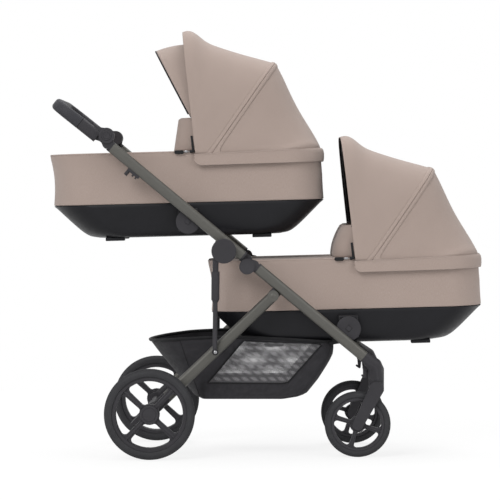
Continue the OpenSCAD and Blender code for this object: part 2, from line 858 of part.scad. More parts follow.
// A spoked rim with its hub; the outer face is towards +Y
module rim(wheel_r, width, seat_drop, rim_t, hub_r, bore_r, spoke_w, turn) {
  seat_r = wheel_r - seat_drop;
  rim_w = rim_w_share*width;
  hub_w = hub_w_share*width;
  spoke_t = spoke_t_share*width;
  ridge_w = ridge_w_share*spoke_w;
  root_w = spoke_root_share*spoke_w;
  tip_w = spoke_tip_share*spoke_w;
  color(plastic_colour) difference() {
    union() {
      rotate([90, 0, 0]) rotate_extrude() translate([seat_r - rim_t, -rim_w/2])
        square([rim_t - running_gap, rim_w]);
      y_rod(hub_r, -hub_w/2, hub_w/2);
      for (i = [0 : spokes - 1]) rotate([0, turn + 360*i/spokes, 0]) {
        across(-spoke_t/2, spoke_t/2) polygon([
          [0, -root_w/2], [seat_r - rim_t/2, -tip_w/2], [seat_r - rim_t/2, tip_w/2], [0, root_w/2]]);
        across(spoke_t/2 - overrun, spoke_t/2 + ridge_t)
          translate([0, -ridge_w/2]) square([seat_r - rim_t/2, ridge_w]);
      }
    }
    y_rod(bore_r + running_gap, -width, width);
  }
}
module rear_wheel_place() { translate([axle_p[0], rear_wheel_y, axle_p[1]]) children(); }
module front_wheel_place() { translate([caster_x - caster_trail, caster_half_w, front_wheel_r]) children(); }

module rear_rim() {
  rear_wheel_place() {
    rim(rear_wheel_r, rear_tyre_w, rear_seat_drop, rear_rim_t, rear_hub_r, stub_r,
      rear_spoke_w, rear_spoke_turn);
    color(plastic_colour) translate([0, hub_w_share*rear_tyre_w/2, 0])
      y_rod(rear_cap_r, running_gap, rear_cap_t);
  }
}
module rear_tyre() { rear_wheel_place() tyre(rear_wheel_r, rear_tyre_w, rear_seat_drop); }
module front_rim() {
  front_wheel_place()
    rim(front_wheel_r, front_tyre_w, front_seat_drop, front_rim_t, front_hub_r, front_bore_r,
      front_spoke_w, front_spoke_turn);
}
module front_tyre() { front_wheel_place() tyre(front_wheel_r, front_tyre_w, front_seat_drop); }

module fork() {
  inner = front_tyre_w/2 + fork_gap;
  crown_top = caster_joint_z - loose_gap;
  color(plastic_colour) translate([caster_x, caster_half_w, 0]) {
    translate([0, 0, crown_top - crown_h]) cylinder(r = caster_r, h = crown_h);
    translate([0, 0, crown_top - overrun]) cylinder(r = stem_r, h = stem_l + overrun);
    for (s = [-1, 1]) across(s > 0 ? inner : -inner - fork_arm_t, s > 0 ? inner + fork_arm_t : -inner)
      link2d([0, crown_top - fork_arm_top_r - overrun], fork_arm_top_r,
        [-caster_trail, front_wheel_r], fork_boss_r);
    translate([-caster_trail, 0, front_wheel_r]) y_rod(front_bore_r, -inner - overrun, inner + overrun);
  }
}

module swivel_lock() {
  color(plastic_colour) translate([lock_x, caster_half_w, lock_z]) {
    y_rod(lock_pivot_r, -lock_w/2 - lock_ear_w, lock_w/2 + lock_ear_w);
    across(-lock_w/2, lock_w/2) {
      link2d([0, 0], lock_ear_r - overrun, [0, -lock_l], lock_t/2);
      link2d([0, -lock_l], lock_t/2, [-lock_t, -lock_l + lock_t/2], lock_t/3);
    }
  }
}

// Telescopic struts between the push tubes and the rear legs

module strut_sleeves() {
  neck_end = strut_neck_l + strut_sleeve_l;
  color(plastic_colour) both_sides() at_strut() difference() {
    union() {
      across(strut_head_in, strut_head_out)
        link2d([0, 0], strut_eye_r, [strut_neck_l/2, -strut_side], strut_neck_r);
      translate([0, strut_axis_y, -strut_side]) rotate([0, 90, 0]) {
        translate([0, 0, strut_neck_l/2]) cylinder(r = strut_neck_r, h = strut_neck_l/2 + overrun);
        translate([0, 0, strut_neck_l]) cylinder(r = strut_sleeve_r, h = strut_sleeve_l);
        translate([0, 0, neck_end])
          cylinder(r1 = strut_sleeve_r, r2 = strut_rod_r + overrun, h = strut_taper_l);
      }
    }
    y_rod(strut_pin_r + running_gap, strut_head_in - overrun, strut_head_out + overrun);
    translate([0, strut_axis_y, -strut_side]) rotate([0, 90, 0]) translate([0, 0, strut_neck_l])
      cylinder(r = strut_rod_r + rod_gap, h = strut_sleeve_l + strut_taper_l + overrun);
  }
}

module strut_rods() {
  rod_top = strut_neck_l + strut_sleeve_l + strut_taper_l - rod_in;
  color(plastic_colour) both_sides() at_strut() {
    translate([0, strut_axis_y, -strut_side]) rotate([0, 90, 0]) translate([0, 0, rod_top])
      cylinder(r = strut_rod_r, h = strut_reach - rod_top);
    translate([strut_reach, 0, -strut_side]) {
      y_rod(rod_eye_r, tube_out + loose_gap, strut_axis_y + strut_rod_r + rod_eye_rise);
      y_rod(screw_r, strut_axis_y, strut_axis_y + strut_rod_r + rod_eye_rise + screw_t);
    }
  }
}

// Cots, drawn from the centre of their adapters

// Ring i of the base, from its floor up to its waist, drawn in by the wall
function base_ring(i, wall) = let (
    end = cot_waist_in + base_end_in*base_end_shares[i] + wall,
    side = cot_waist_in + base_side_in*base_side_shares[i] + wall,
    r = cot_corner_r - cot_waist_in - wall)
  round_ring(cot_foot_x + end, cot_head_x + cot_waist_in + cot_head_out - end,
    cot_half_w - side, r, r, base_z(i));
function base_z(i) = cot_waist_z - base_drop_shares[i]*cot_base_h;
function at_height(ring, z) = [for (p = ring) [p[0], p[1], z]];
module base_block() { loft_solid([for (i = [0 : 3]) base_ring(i, 0)]); }

// A moulded tray, open above for the mattress and hollow below
module cot_base() {
  foot_y = cot_half_w - cot_waist_in - base_side_in - (base_rim_w + foot_w)/2;
  color(base_colour) {
    difference() {
      base_block();
      loft_solid([base_ring(2, base_wall), at_height(base_ring(3, base_wall), cot_waist_z + overrun)]);
      loft_solid([at_height(base_ring(0, base_rim_w), cot_floor_z - overrun),
        at_height(base_ring(0, base_rim_w), base_z(2) - base_wall)]);
    }
    for (s = [-1, 1]) translate([foot_mid_x + s*foot_reach - foot_l/2, 0, cot_floor_z - foot_h])
      both_sides() translate([0, foot_y, 0]) cube([foot_l, foot_w, foot_h]);
    both_sides() difference() {
      across(socket_in, socket_out) translate([-socket_w/2, -socket_down])
        square([socket_w, socket_up + socket_down]);
      base_block();
      across(tongue_in - slot_gap, socket_out + overrun) polygon([
        [-tongue_w/2 - slot_gap, -socket_down - overrun], [tongue_w/2 + slot_gap, -socket_down - overrun],
        [tongue_w/2 + slot_gap, -tongue_drop],
        [tongue_tip_share*tongue_w/2 + slot_gap, tongue_h - tongue_drop + slot_gap],
        [-tongue_tip_share*tongue_w/2 - slot_gap, tongue_h - tongue_drop + slot_gap],
        [-tongue_w/2 - slot_gap, -tongue_drop]]);
    }
  }
}

module mattress() {
  z0 = base_z(2) + part_gap;
  function pad_ring(inset, z) = at_height(base_ring(2, base_wall + mattress_gap + inset), z);
  color(lining_colour) loft_solid([
    pad_ring(mattress_crown, z0), pad_ring(0, z0 + mattress_t/2), pad_ring(mattress_crown, z0 + mattress_t),
    pad_ring(4*mattress_crown, z0 + mattress_t + mattress_crown)]);
}

// A ring of the padded side, whose head end leans out by lean
function shell_ring(inset, lean, z) = round_ring(
  cot_foot_x + inset, cot_head_x - inset + lean, cot_half_w - inset,
  cot_corner_r - inset, cot_corner_r - inset, z);
module cot_shell() {
  mid_z = (cot_waist_z + cot_rim_z)/2;
  inner = cot_waist_in + cot_wall;
  lean = cot_waist_in + cot_head_out;
  mid_lean = cot_waist_in + cot_head_out/2;
  color(fabric_colour) {
    loft_wall([
      shell_ring(cot_waist_in, lean, cot_waist_z), shell_ring(cot_waist_in, mid_lean, mid_z),
      shell_ring(0, 0, cot_rim_z), shell_ring(cot_wall, 0, cot_rim_z),
      shell_ring(inner, mid_lean, mid_z), shell_ring(inner, lean, cot_waist_z)]);
    both_sides() translate([hood_x, 0, hood_z])
      y_rod(hood_pin_r, cot_half_w - cot_wall/2, hoop_layer + hoop_t);
  }
}
// The band of cloth round the head end that the hood is sewn to
module hood_skirt() {
  out = hood_half_w - cot_half_w;
  color(fabric_colour) difference() {
    translate([0, 0, hood_z + hood_lift - skirt_h]) difference() {
      linear_extrude(skirt_h) skirt_outline(out);
      translate([0, 0, -overrun]) linear_extrude(skirt_h + 2*overrun) skirt_outline(out - hood_t);
    }
    translate([skirt_front_x - cot_l, -2*cot_half_w, -cot_l]) cube([cot_l, 4*cot_half_w, 2*cot_l]);
  }
}
module skirt_outline(out) {
  r = cot_corner_r + out;
  half = cot_half_w + out;
  translate([cot_foot_x, -half]) square([cot_head_x + out - r - cot_foot_x, 2*half]);
  translate([cot_foot_x, r - half]) square([cot_head_x + out - cot_foot_x, 2*(half - r)]);
  for (s = [-1, 1]) translate([cot_head_x + out - r, s*(half - r)]) circle(r);
}

// The cover over the foot end, with its raised wind collar
module apron() {
  z0 = cot_rim_z + part_gap;
  function cover_ring(inset, z) = round_ring(cot_foot_x + inset, apron_end_x - inset, cot_half_w - inset,
    cot_corner_r - inset, apron_front_r - inset, z);
  color(fabric_colour) {
    loft_solid([cover_ring(0, z0), cover_ring(0, z0 + apron_t/2), cover_ring(apron_edge, z0 + apron_t)]);
    loft_strip([for (k = [0 : collar_steps]) collar_ring(k/collar_steps, z0 + apron_t - overrun)]);
  }
}
function collar_line(x, t) = let (
    half = collar_half_w, r = collar_r - t, cx = x + collar_r, cy = half - collar_r)
  concat([[x + collar_wing_l, t - half]],
  [for (i = [0 : arc_steps]) let (a = 90*i/arc_steps) [cx - r*sin(a), -cy - r*cos(a)]],
  [for (i = [0 : arc_steps]) let (a = 90*i/arc_steps) [cx - r*cos(a), cy + r*sin(a)]],
  [[x + collar_wing_l, half - t]]);
function reversed(points) = [for (i = [len(points) - 1 : -1 : 0]) points[i]];
function collar_ring(share, z) = let (
    x = collar_foot_x + share*collar_lean,
    line = concat(collar_line(x, collar_t), reversed(collar_line(x, 0))))
  [for (p = line) [p[0], p[1], z + share*collar_h]];

// Hood cloth

function signed_power(v, e) = sign(v)*pow(abs(v), e);
function hood_reach(a) = a < hoop_a
  ? hood_rear_reach + (hoop_reach - hood_rear_reach)*(a - hood_rear_a)/(hoop_a - hood_rear_a)
    - hood_sag*sin(180*(a - hood_rear_a)/(hoop_a - hood_rear_a))
  : hoop_reach + (bow_reach - hoop_reach)*(a - hoop_a)/(front_a - hoop_a)
    - hood_sag*sin(180*(a - hoop_a)/(front_a - hoop_a)) + hood_roll*exp(-pow((a - roll_a)/roll_width_a, 2));
// An arch at angle a about the point p, from its foot at radius low to its crown at radius reach
function arch(a, half, low, reach, p, side_share, top_share) = [for (i = [0 : arch_steps]) let (
    t = 180*i/arch_steps,
    y = -half*signed_power(cos(t), side_share),
    r = low + (reach - low)*pow(sin(t), top_share))
  [p[0] + r*cos(a), y, p[1] + r*sin(a)]];
function hood_arch(a, half, low, reach) =
  arch(a, half, low, reach, [hood_x, hood_z], hood_side_share, hood_top_share);
function hood_ring(a) = let (low = hood_lift/sin(a)) concat(
  hood_arch(a, hood_half_w, low, hood_reach(a)),
  reversed(hood_arch(a, hood_half_w - hood_t, low, hood_reach(a) - hood_t)));
module hood_cloth(a0, a1, steps) {
  color(fabric_colour) loft_strip([for (k = [0 : steps]) hood_ring(a0 + (a1 - a0)*k/steps)]);
}
module hood_rear() { hood_cloth(hood_rear_a, hoop_a - cloth_split_a, rear_steps); }
module hood_front() { hood_cloth(hoop_a, front_a, front_steps); }

// A flat hoop in its own layer, with an eye on the hood pivot
module hoop(a, layer, reach) {
  half = layer + hoop_t;
  low = eye_r - overrun;
  function hoop_ring(t) = concat(
    hood_arch(t, half, low, reach), reversed(hood_arch(t, half - hoop_t, low, reach - hoop_t)));
  difference() {
    union() {
      loft_strip([for (s = [-1, 1]) hoop_ring(a + s*hoop_half_a)]);
      both_sides() translate([hood_x, 0, hood_z]) y_rod(eye_r, layer, half);
    }
    both_sides() translate([hood_x, 0, hood_z])
      y_rod(hood_pin_r + running_gap, layer - overrun, half + overrun);
  }
}
module hood_hoop() { color(plastic_colour) hoop(hoop_a, hoop_layer, hoop_reach - hoop_inset); }
module hood_bow() {
  boss_in = visor_half_w + part_gap;
  color(plastic_colour) difference() {
    union() {
      hoop(bow_a, bow_layer, bow_reach - hoop_inset);
      both_sides() translate([visor_x, 0, visor_z])
        y_rod(visor_boss_r, boss_in, bow_layer + hoop_t);
    }
    both_sides() translate([visor_x, 0, visor_z])
      y_rod(visor_pin_r + running_gap, boss_in - overrun, hood_half_w);
  }
}

// The sun visor, swung out of the hood by the angle open
module visor(open) {
  v = [visor_x, visor_z];
  low = visor_lift - overrun;
  function visor_arch(a, half, reach) = arch(a, half, low, reach, v, visor_side_share, visor_top_share);
  function visor_ring(share) = let (
      a = visor_base_a + open - visor_angle*(1 - share),
      reach = visor_reach + share*visor_flare)
    concat(visor_arch(a, visor_half_w, reach),
      reversed(visor_arch(a, visor_half_w - visor_t, reach - visor_t)));
  color(fabric_colour) {
    loft_strip([for (k = [0 : visor_steps]) visor_ring(k/visor_steps)]);
    both_sides() translate([visor_x, 0, visor_z]) {
      y_rod(visor_eye_r, visor_half_w - visor_t, visor_half_w);
      y_rod(visor_pin_r, visor_half_w - visor_t, bow_layer + hoop_t);
    }
  }
}

// Every node

front_tubes();
front_elbows();
hinge_sockets();
leg_brackets();
front_crossbar();
adapter_pair(lower_cot_p);  // lower_adapters
basket_tray();
basket_mesh();
push_tubes();
hinge_knuckles();
handle_hubs();
strut_discs();
adapter_pair(upper_cot_p);  // upper_adapters
accessory_clips();
handle_bar();
handle_grip();
handle_button();  // handle_button_left
on_side("right") handle_button();  // handle_button_right
rear_legs();
leg_ends();
rear_axle();
brake_pedal();
for (side = ["left", "right"]) on_side(side) {
  rear_tyre();
  rear_rim();
  fork();
  front_tyre();
  front_rim();
  swivel_lock();
  release_button(upper_cot_p);
  release_button(lower_cot_p);
}
strut_sleeves();
strut_rods();
at_cot(upper_cot_p) visor(visor_angle);  // upper_visor
at_cot(lower_cot_p) visor(0);  // lower_visor
for (cot = [["upper_", upper_cot_p], ["lower_", lower_cot_p]]) at_cot(cot[1]) {
  cot_shell();
  cot_base();
  mattress();
  apron();
  hood_skirt();
  hood_rear();
  hood_front();
  hood_hoop();
  hood_bow();
}
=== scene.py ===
"""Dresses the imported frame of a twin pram: painted tubes, moulded plastic, wheels, cots, hoods and basket.

Shapes are drawn in millimetres, in the same places as in the part's source, and are turned into metres when
a piece is made. A cot's own shapes are drawn from the centre of its adapters.
"""
import json
import math
from collections import namedtuple

import bmesh
import bpy
from bpy.props import FloatProperty, FloatVectorProperty, IntProperty, PointerProperty
from mathutils import Matrix, Vector


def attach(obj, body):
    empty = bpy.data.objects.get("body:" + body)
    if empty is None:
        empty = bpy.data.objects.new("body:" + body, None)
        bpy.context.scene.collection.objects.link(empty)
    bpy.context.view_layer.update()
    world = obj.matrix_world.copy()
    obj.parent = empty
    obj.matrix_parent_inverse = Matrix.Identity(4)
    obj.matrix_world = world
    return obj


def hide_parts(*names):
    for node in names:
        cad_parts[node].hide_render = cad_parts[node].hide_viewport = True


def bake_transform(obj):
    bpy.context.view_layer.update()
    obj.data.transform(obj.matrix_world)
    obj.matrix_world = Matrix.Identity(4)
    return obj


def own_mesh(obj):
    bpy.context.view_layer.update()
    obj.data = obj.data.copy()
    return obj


bl_info = {
    "name": "Twin pram",
    "version": (1, 0, 0),
    "blender": (4, 5, 0),
    "location": "View3D > Sidebar > Pram",
    "description": "Dresses the frame of a twin pram",
    "category": "Object",
}

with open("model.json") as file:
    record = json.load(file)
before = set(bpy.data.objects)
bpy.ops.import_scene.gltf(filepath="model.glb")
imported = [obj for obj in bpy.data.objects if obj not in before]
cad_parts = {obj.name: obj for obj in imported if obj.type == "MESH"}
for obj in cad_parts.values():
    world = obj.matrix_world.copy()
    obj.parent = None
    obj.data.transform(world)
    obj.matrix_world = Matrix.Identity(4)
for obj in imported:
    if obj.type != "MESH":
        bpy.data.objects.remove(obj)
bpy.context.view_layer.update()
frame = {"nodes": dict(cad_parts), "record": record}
NODE_BODY = {n: body for body, nodes in frame["record"]["behaviour"]["bodies"].items() for n in nodes}

MM = Matrix.Scale(0.001, 4)
SIDES = {"right": -1, "left": 1}

# Places on the frame, in millimetres along X and Z
COT_PLACES = {"upper": (-251.285, 756.671), "lower": (261.942, 414.413)}
COT_TILT = 1.5
HUB_PLACE = (-509.785, 1030.81)
HANDLE_TURN = 218.5
LEG_PLACE, LEG_TURN = (20.2, 520.1), 136.35
STRUT_FOOT = (-163.5, 285.5, 342.2)

# A wheel: its axle's place, the tyre's radius and width, and the rim's radii, spoke width, turn and fillet
Wheel = namedtuple("Wheel", "axle radius width seat ring hub bore spoke turn fillet")
WHEELS = {
    "rear": Wheel((-373, 288, 145), 145, 44, 119, 109, 27, 6.3, 17, -47, 15),
    "front": Wheel((292, 208, 106), 106, 36, 85, 78, 20, 5.3, 13, 17, 11),
}

# A cot's outline: foot end, head end, half width, corner radius, and its heights
FOOT, HEAD, HALF, CORNER = -447, 433, 200, 130
FLOOR, WAIST, RIM = -47.5, 59.5, 223.5
WAIST_IN, HEAD_OUT = 8, 6
WELL_END, WELL_SIDE = WAIST_IN + 7 + 74.2, WAIST_IN + 7 + 4.1

# The hood: its pivot, its cloth's outer half width, and the angles of its edges and hoops
HOOD_X, HOOD_W = 31, 187
HOOD_HALF, HOOD_LIFT = 209.3, 36.8
REAR_A, HOOP_A, BOW_A, FRONT_A = 7, 50.2, 91.5, 95
REAR_REACH, HOOP_REACH, BOW_REACH = 402, 413, 412
REAR_SAG, FRONT_SAG, HOOD_ROLL, ROLL_A, ROLL_WIDE = 34, 31, 26, 91.7, 5.6
HOOD_ARCH, VISOR_ARCH = (0.5, 0.7), (0.62, 1.3)
SEAM_A, SEAM_OFF = 53.8, 23.7
SKIRT_START, SKIRT_HEAD, SKIRT_HALF, SKIRT_FALL = 23, HEAD + 10, 213.4, 11.5
VISOR_PLACE = (27.2567, 329.951)
VISOR_HALF, VISOR_LOW, VISOR_REACH, VISOR_FLARE = 196.5, 10, 248, 10
VISOR_A, VISOR_OPEN = 96.5, 22

# The stage, in metres: lights with their place, width and power, and the camera
WHITE, PALE = (1, 1, 1, 1), (0.86, 0.86, 0.86, 1)
WORLD_LIGHT = 0.37
FLOOR_REACH, FLOOR_ROUGH, FLOOR_GLOW, FLOOR_GLOW_SHARE = 2.2, 0.9, 1.04, 0.8
LIGHTS = {
    "key": ((-3.5, -5.5, 5.5), 4.0, 365),
    "fill": ((5.0, -4.5, 2.6), 4.0, 113),
    "top": ((0.5, 1.5, 6.0), 5.0, 226),
}
LIT_PLACE = Vector((0, 0, 0.7))
CAMERA_PLACE, CAMERA_TURN = (-0.042, -7.928, 0.8895), (88.336, 0, 0.086)
LENS, SENSOR = 173.5, 36


def tint(red, green, blue):
    """The linear colour of a screen colour given from 0 to 255."""
    return tuple((c/255/12.92) if c <= 10 else ((c/255 + 0.055)/1.055)**2.4 for c in (red, green, blue))


def colour(name, words, red, green, blue):
    """A colour that a user may change."""
    return FloatVectorProperty(name=name, description=words, default=tint(red, green, blue), subtype="COLOR",
                               size=3, min=0, max=1)


def length(name, words, default):
    """A length, in metres, that a user may change."""
    return FloatProperty(name=name, description=words, default=default, min=0, unit="LENGTH")


class PramColours(bpy.types.PropertyGroup):
    """Colours of the pram's finishes."""
    cloth: colour("Cloth", "Taupe cloth of the cots and hoods", 178, 162, 154)
    cloth_dark: colour("Cloth, darker yarn", "Darker yarn in the taupe cloth", 153, 136, 127)
    lining: colour("Lining", "Cotton inside the cots", 205, 201, 194)
    tube: colour("Tube paint", "Gunmetal paint of the tubes", 84, 83, 79)
    plastic: colour("Moulded plastic", "Dark grey mouldings", 52, 51, 54)
    base: colour("Cot base", "Satin black base of the cots", 25, 25, 28)
    grip: colour("Grip", "Leatherette of the handle", 52, 52, 56)
    tyre: colour("Tyre", "Rubber of the tyres", 53, 53, 55)
    basket: colour("Basket cloth", "Coated cloth of the basket", 43, 42, 45)
    net: colour("Net", "Thread of the basket's net", 106, 105, 107)
    trim: colour("Trim", "Black bindings and pulls", 26, 26, 28)
    steel: colour("Steel", "Zip slider, screws and pins", 150, 150, 152)


class PramSizes(bpy.types.PropertyGroup):
    """Sizes of what is added to the frame."""
    cloth: length("Cloth", "Thickness of the hood cloth", 0.0024)
    edge: length("Edges", "Rounding of the moulded edges", 0.0012)
    piping: length("Piping", "Radius of the piping and bindings", 0.0024)
    band: length("Seam band", "Width of the band sewn along a hood's hoop", 0.024)
    hem: length("Hem", "Height of the apron's edge over the rim", 0.0045)
    crown: length("Apron crown", "Rise of the apron's middle", 0.0015)
    net_pitch: length("Net", "Width of one opening of the net", 0.0052)
    thread: length("Thread", "Thickness of the net's thread", 0.0023)
    stitch: length("Stitch", "Length of one stitch", 0.0035)
    pull: length("Zip pull", "Length of the zip's pull", 0.031)
    spin: IntProperty(name="Round steps", description="Steps in a full turn of a round piece", default=96,
                      min=24, max=192)


# Finishes


def feed(tree, socket, value):
    """Gives a socket a value, or links it to the output that feeds it."""
    if isinstance(value, bpy.types.NodeSocket):
        tree.links.new(value, socket)
    else:
        socket.default_value = value


def add_node(tree, kind, sockets=(), **settings):
    """Adds a node; sockets maps its inputs to values or to the outputs that feed them."""
    node = tree.nodes.new(kind)
    for key, value in settings.items():
        setattr(node, key, value)
    for key, value in dict(sockets).items():
        feed(tree, node.inputs[key], value)
    return node


class Finish:
    """One procedural material: a shader whose constants sit on its own sockets, and patterns that feed it."""

    def __init__(self, name, rough, metal=0.0, specular=0.5, sheen=0.0, coat=0.0, uv=False):
        self.material = bpy.data.materials.new(name)
        self.material.use_nodes = True
        self.tree = self.material.node_tree
        self.shader = self.tree.nodes["Principled BSDF"]
        for socket, value in (("Roughness", rough), ("Metallic", metal), ("Specular IOR Level", specular),
                              ("Sheen Weight", sheen), ("Sheen Roughness", 0.6), ("Coat Weight", coat),
                              ("Coat Roughness", 0.25)):
            self.shader.inputs[socket].default_value = value
        if uv:
            self.place = self.add("ShaderNodeUVMap", uv_map="cut").outputs["UV"]
        else:
            self.place = self.add("ShaderNodeTexCoord").outputs["Object"]

    def add(self, kind, sockets=(), **settings):
        return add_node(self.tree, kind, sockets, **settings)

    def stretched(self, along, across):
        """Coordinates stretched unevenly, for threads and streaks."""
        scale = (along, across, along)
        return self.add("ShaderNodeMapping", {"Vector": self.place, "Scale": scale}).outputs[0]

    def noise(self, scale, detail=3.0, place=None):
        return self.add("ShaderNodeTexNoise", {"Vector": place or self.place, "Scale": scale,
                                               "Detail": detail, "Roughness": 0.6}).outputs["Fac"]

    def cells(self, scale):
        return self.add("ShaderNodeTexVoronoi", {"Vector": self.place, "Scale": scale}).outputs["Distance"]

    def ribs(self, pitch, direction):
        return self.add("ShaderNodeTexWave", {"Vector": self.place, "Scale": 0.31416/pitch, "Distortion": 0.4,
                                              "Detail": 1.0, "Detail Scale": 2.0},
                        bands_direction=direction).outputs["Fac"]

    def sums(self, how, first, second):
        return self.add("ShaderNodeMath", {0: first, 1: second}, operation=how).outputs[0]

    def spread(self, value, low, high, start=0.3, stop=0.7):
        """A pattern's value spread between two numbers."""
        return self.add("ShaderNodeMapRange", {"Value": value, "From Min": start, "From Max": stop,
                                               "To Min": low, "To Max": high}).outputs[0]

    def mix(self, share, first, second):
        """Two colours mixed by a pattern."""
        first, second = (c if isinstance(c, bpy.types.NodeSocket) else (*c, 1.0) for c in (first, second))
        return self.add("ShaderNodeMix", {0: share, 6: first, 7: second}, data_type="RGBA").outputs[2]

    def tones(self, pattern, tone, low, high, start=0.3, stop=0.7):
        """A colour that a pattern takes from one shade of it to another."""
        return self.mix(self.spread(pattern, 0, 1, start, stop), shade(tone, low), shade(tone, high))

    def paint(self, colours):
        feed(self.tree, self.shader.inputs["Base Color"], colours)

    def dull(self, pattern, low, high):
        feed(self.tree, self.shader.inputs["Roughness"], self.spread(pattern, low, high))

    def raise_by(self, height, distance, strength=1.0):
        bump = self.add("ShaderNodeBump", {"Height": height, "Distance": distance, "Strength": strength})
        feed(self.tree, self.shader.inputs["Normal"], bump.outputs[0])

    def worn_and_highlight_edges(self, colours, bare, amount):
        """Lightens the ridges of a piece: on paint this is wear, where hands and knocks polish it; on plastic
        it is a painted highlight.
        """
        ridge = self.add("ShaderNodeNewGeometry").outputs["Pointiness"]
        share = self.sums("MULTIPLY", self.spread(ridge, 0, amount, 0.52, 0.60), self.noise(60, 4))
        return self.mix(share, colours, bare)


def shade(colours, factor):
    """A colour made darker or lighter by a factor."""
    return tuple(min(1.0, c*factor) for c in colours)


def woven_cloth(name, light, dark, pitch):
    """Melange weave: two tones of yarn, crossing threads and a soft unevenness."""
    f = Finish(name, 0.92, specular=0.2, sheen=0.18, uv=True)
    yarn = f.sums("MULTIPLY", f.noise(1, 2, f.stretched(260, 2600)), f.noise(1, 2, f.stretched(2600, 260)))
    soft = f.noise(7, 2)
    tone = f.mix(f.spread(yarn, 0, 1, 0.12, 0.42), dark, light)
    f.paint(f.mix(f.spread(soft, 0.0, 0.16), tone, shade(dark, 0.96)))
    threads = f.sums("MAXIMUM", f.ribs(pitch, "X"), f.ribs(pitch, "Y"))
    f.raise_by(f.sums("ADD", threads, f.sums("MULTIPLY", yarn, 0.8)), 0.00022, 0.7)
    return f.material


def coated_cloth(name, tone, pitch):
    """Dark coated twill of the basket and bindings."""
    f = Finish(name, 0.7, specular=0.15, sheen=0.05, uv=True)
    f.paint(f.tones(f.noise(30), tone, 0.85, 1.2))
    f.dull(f.noise(90), 0.6, 0.82)
    f.raise_by(f.sums("ADD", f.ribs(pitch, "DIAGONAL"), f.noise(900, 2)), 0.0002, 0.7)
    return f.material


def soft_cotton(name, tone):
    """Brushed cotton, for linings and the mattress."""
    f = Finish(name, 0.95, specular=0.15, sheen=0.25)
    f.paint(f.tones(f.noise(1400, 2), tone, 0.9, 1))
    f.raise_by(f.sums("ADD", f.ribs(0.0016, "DIAGONAL"), f.noise(1500, 2)), 0.00025, 0.6)
    return f.material


def net_yarn_painted_light(name, tone):
    """Fine net with soft, lighter spots painted on, standing in for the light that its two layers let through
    where they overlap.
    """
    f = Finish(name, 0.9, specular=0.15)
    spots = f.sums("MULTIPLY", f.ribs(0.0145, "DIAGONAL"), f.ribs(0.02, "Z"))
    # Painted light: the lighter spots stand for light seen through both layers of the net.
    f.paint(f.tones(spots, tone, 1, 2.1, 0.02, 0.6))
    f.raise_by(f.noise(1500, 2), 0.0001, 0.5)
    return f.material


def satin_paint(name, tone):
    """Satin metallic paint with fine flake and rubbed edges."""
    f = Finish(name, 0.4, metal=0.35, specular=0.3, coat=0.06)
    flake = f.noise(2600, 1)
    body = f.tones(flake, tone, 0.9, 1.12, 0.35, 0.65)
    f.paint(f.worn_and_highlight_edges(body, shade(tone, 1.9), 0.6))
    f.dull(f.noise(35, 4), 0.34, 0.48)
    f.raise_by(flake, 0.00003, 0.5)
    return f.material


def grained_plastic(name, tone, grain=900, depth=0.00012, rough=(0.46, 0.6)):
    """Moulded plastic with a fine eroded grain, and a slight painted highlight on its edges."""
    f = Finish(name, 0.5, specular=0.18)
    body = f.tones(f.noise(14, 4), tone, 0.92, 1.1)
    # The lighter edges are a painted highlight, standing in for the shine of the moulding's edges.
    f.paint(f.worn_and_highlight_edges(body, shade(tone, 1.8), 0.5))
    f.dull(f.noise(60, 4), *rough)
    f.raise_by(f.sums("ADD", f.noise(grain, 3), f.cells(grain*0.8)), depth, 0.6)
    return f.material


def rubber(name, tone):
    """Dull foamed rubber, dusty in places."""
    f = Finish(name, 0.7, specular=0.15)
    f.paint(f.mix(f.spread(f.noise(25, 5), 0, 0.35, 0.45, 0.8), tone, shade(tone, 1.7)))
    f.dull(f.noise(110, 4), 0.58, 0.78)
    f.raise_by(f.noise(1600, 2), 0.0001, 0.5)
    return f.material


def leatherette(name, tone):
    """Soft pebbled leatherette."""
    f = Finish(name, 0.6, specular=0.2)
    pebble = f.cells(620)
    f.paint(f.tones(pebble, tone, 0.8, 1.15, 0.1, 0.7))
    f.dull(f.noise(70, 3), 0.5, 0.68)
    f.raise_by(f.sums("ADD", pebble, f.noise(1500, 2)), 0.00025, 0.7)
    return f.material


def bare_steel(name, tone):
    """Plated steel with fine scratches."""
    f = Finish(name, 0.3, metal=1.0)
    scratches = f.noise(1, 3, f.stretched(120, 3000))
    f.paint(f.tones(scratches, tone, 0.85, 1.1))
    f.dull(f.noise(200, 3), 0.22, 0.4)
    f.raise_by(scratches, 0.00002, 0.4)
    return f.material


# How each finish is made: its kind, its colours, and what else that kind takes
FINISH_KINDS = {
    "taupe_cloth": (woven_cloth, ("cloth", "cloth_dark"), 0.0011),
    "lining_cotton": (soft_cotton, ("lining",)),
    "tube_paint": (satin_paint, ("tube",)),
    "moulded_plastic": (grained_plastic, ("plastic",)),
    "base_plastic": (grained_plastic, ("base",), 500, 0.0001, (0.36, 0.5)),
    "wheel_plastic": (grained_plastic, ("plastic",), 1200, 0.00008, (0.4, 0.52)),
    "grip_leatherette": (leatherette, ("grip",)),
    "tyre_rubber": (rubber, ("tyre",)),
    "basket_cloth": (coated_cloth, ("basket",), 0.0014),
    "net_thread": (net_yarn_painted_light, ("net",)),
    "black_trim": (coated_cloth, ("trim",), 0.001),
    "black_plastic": (grained_plastic, ("trim",), 1500, 0.00006, (0.34, 0.46)),
    "steel": (bare_steel, ("steel",)),
}
FINISHES = {}


def finish(name):
    """The pram's finish of that name, made when it is first asked for."""
    if name not in FINISHES:
        maker, tones, *more = FINISH_KINDS[name]
        colours = bpy.context.scene.pram_colours
        FINISHES[name] = maker(name, *(tuple(getattr(colours, tone)) for tone in tones), *more)
    return FINISHES[name]


# Making pieces


def mm(metres):
    """A length of the sizes, in millimetres."""
    return metres*1000


def unit(value):
    """A value held between 0 and 1."""
    return min(max(value, 0), 1)


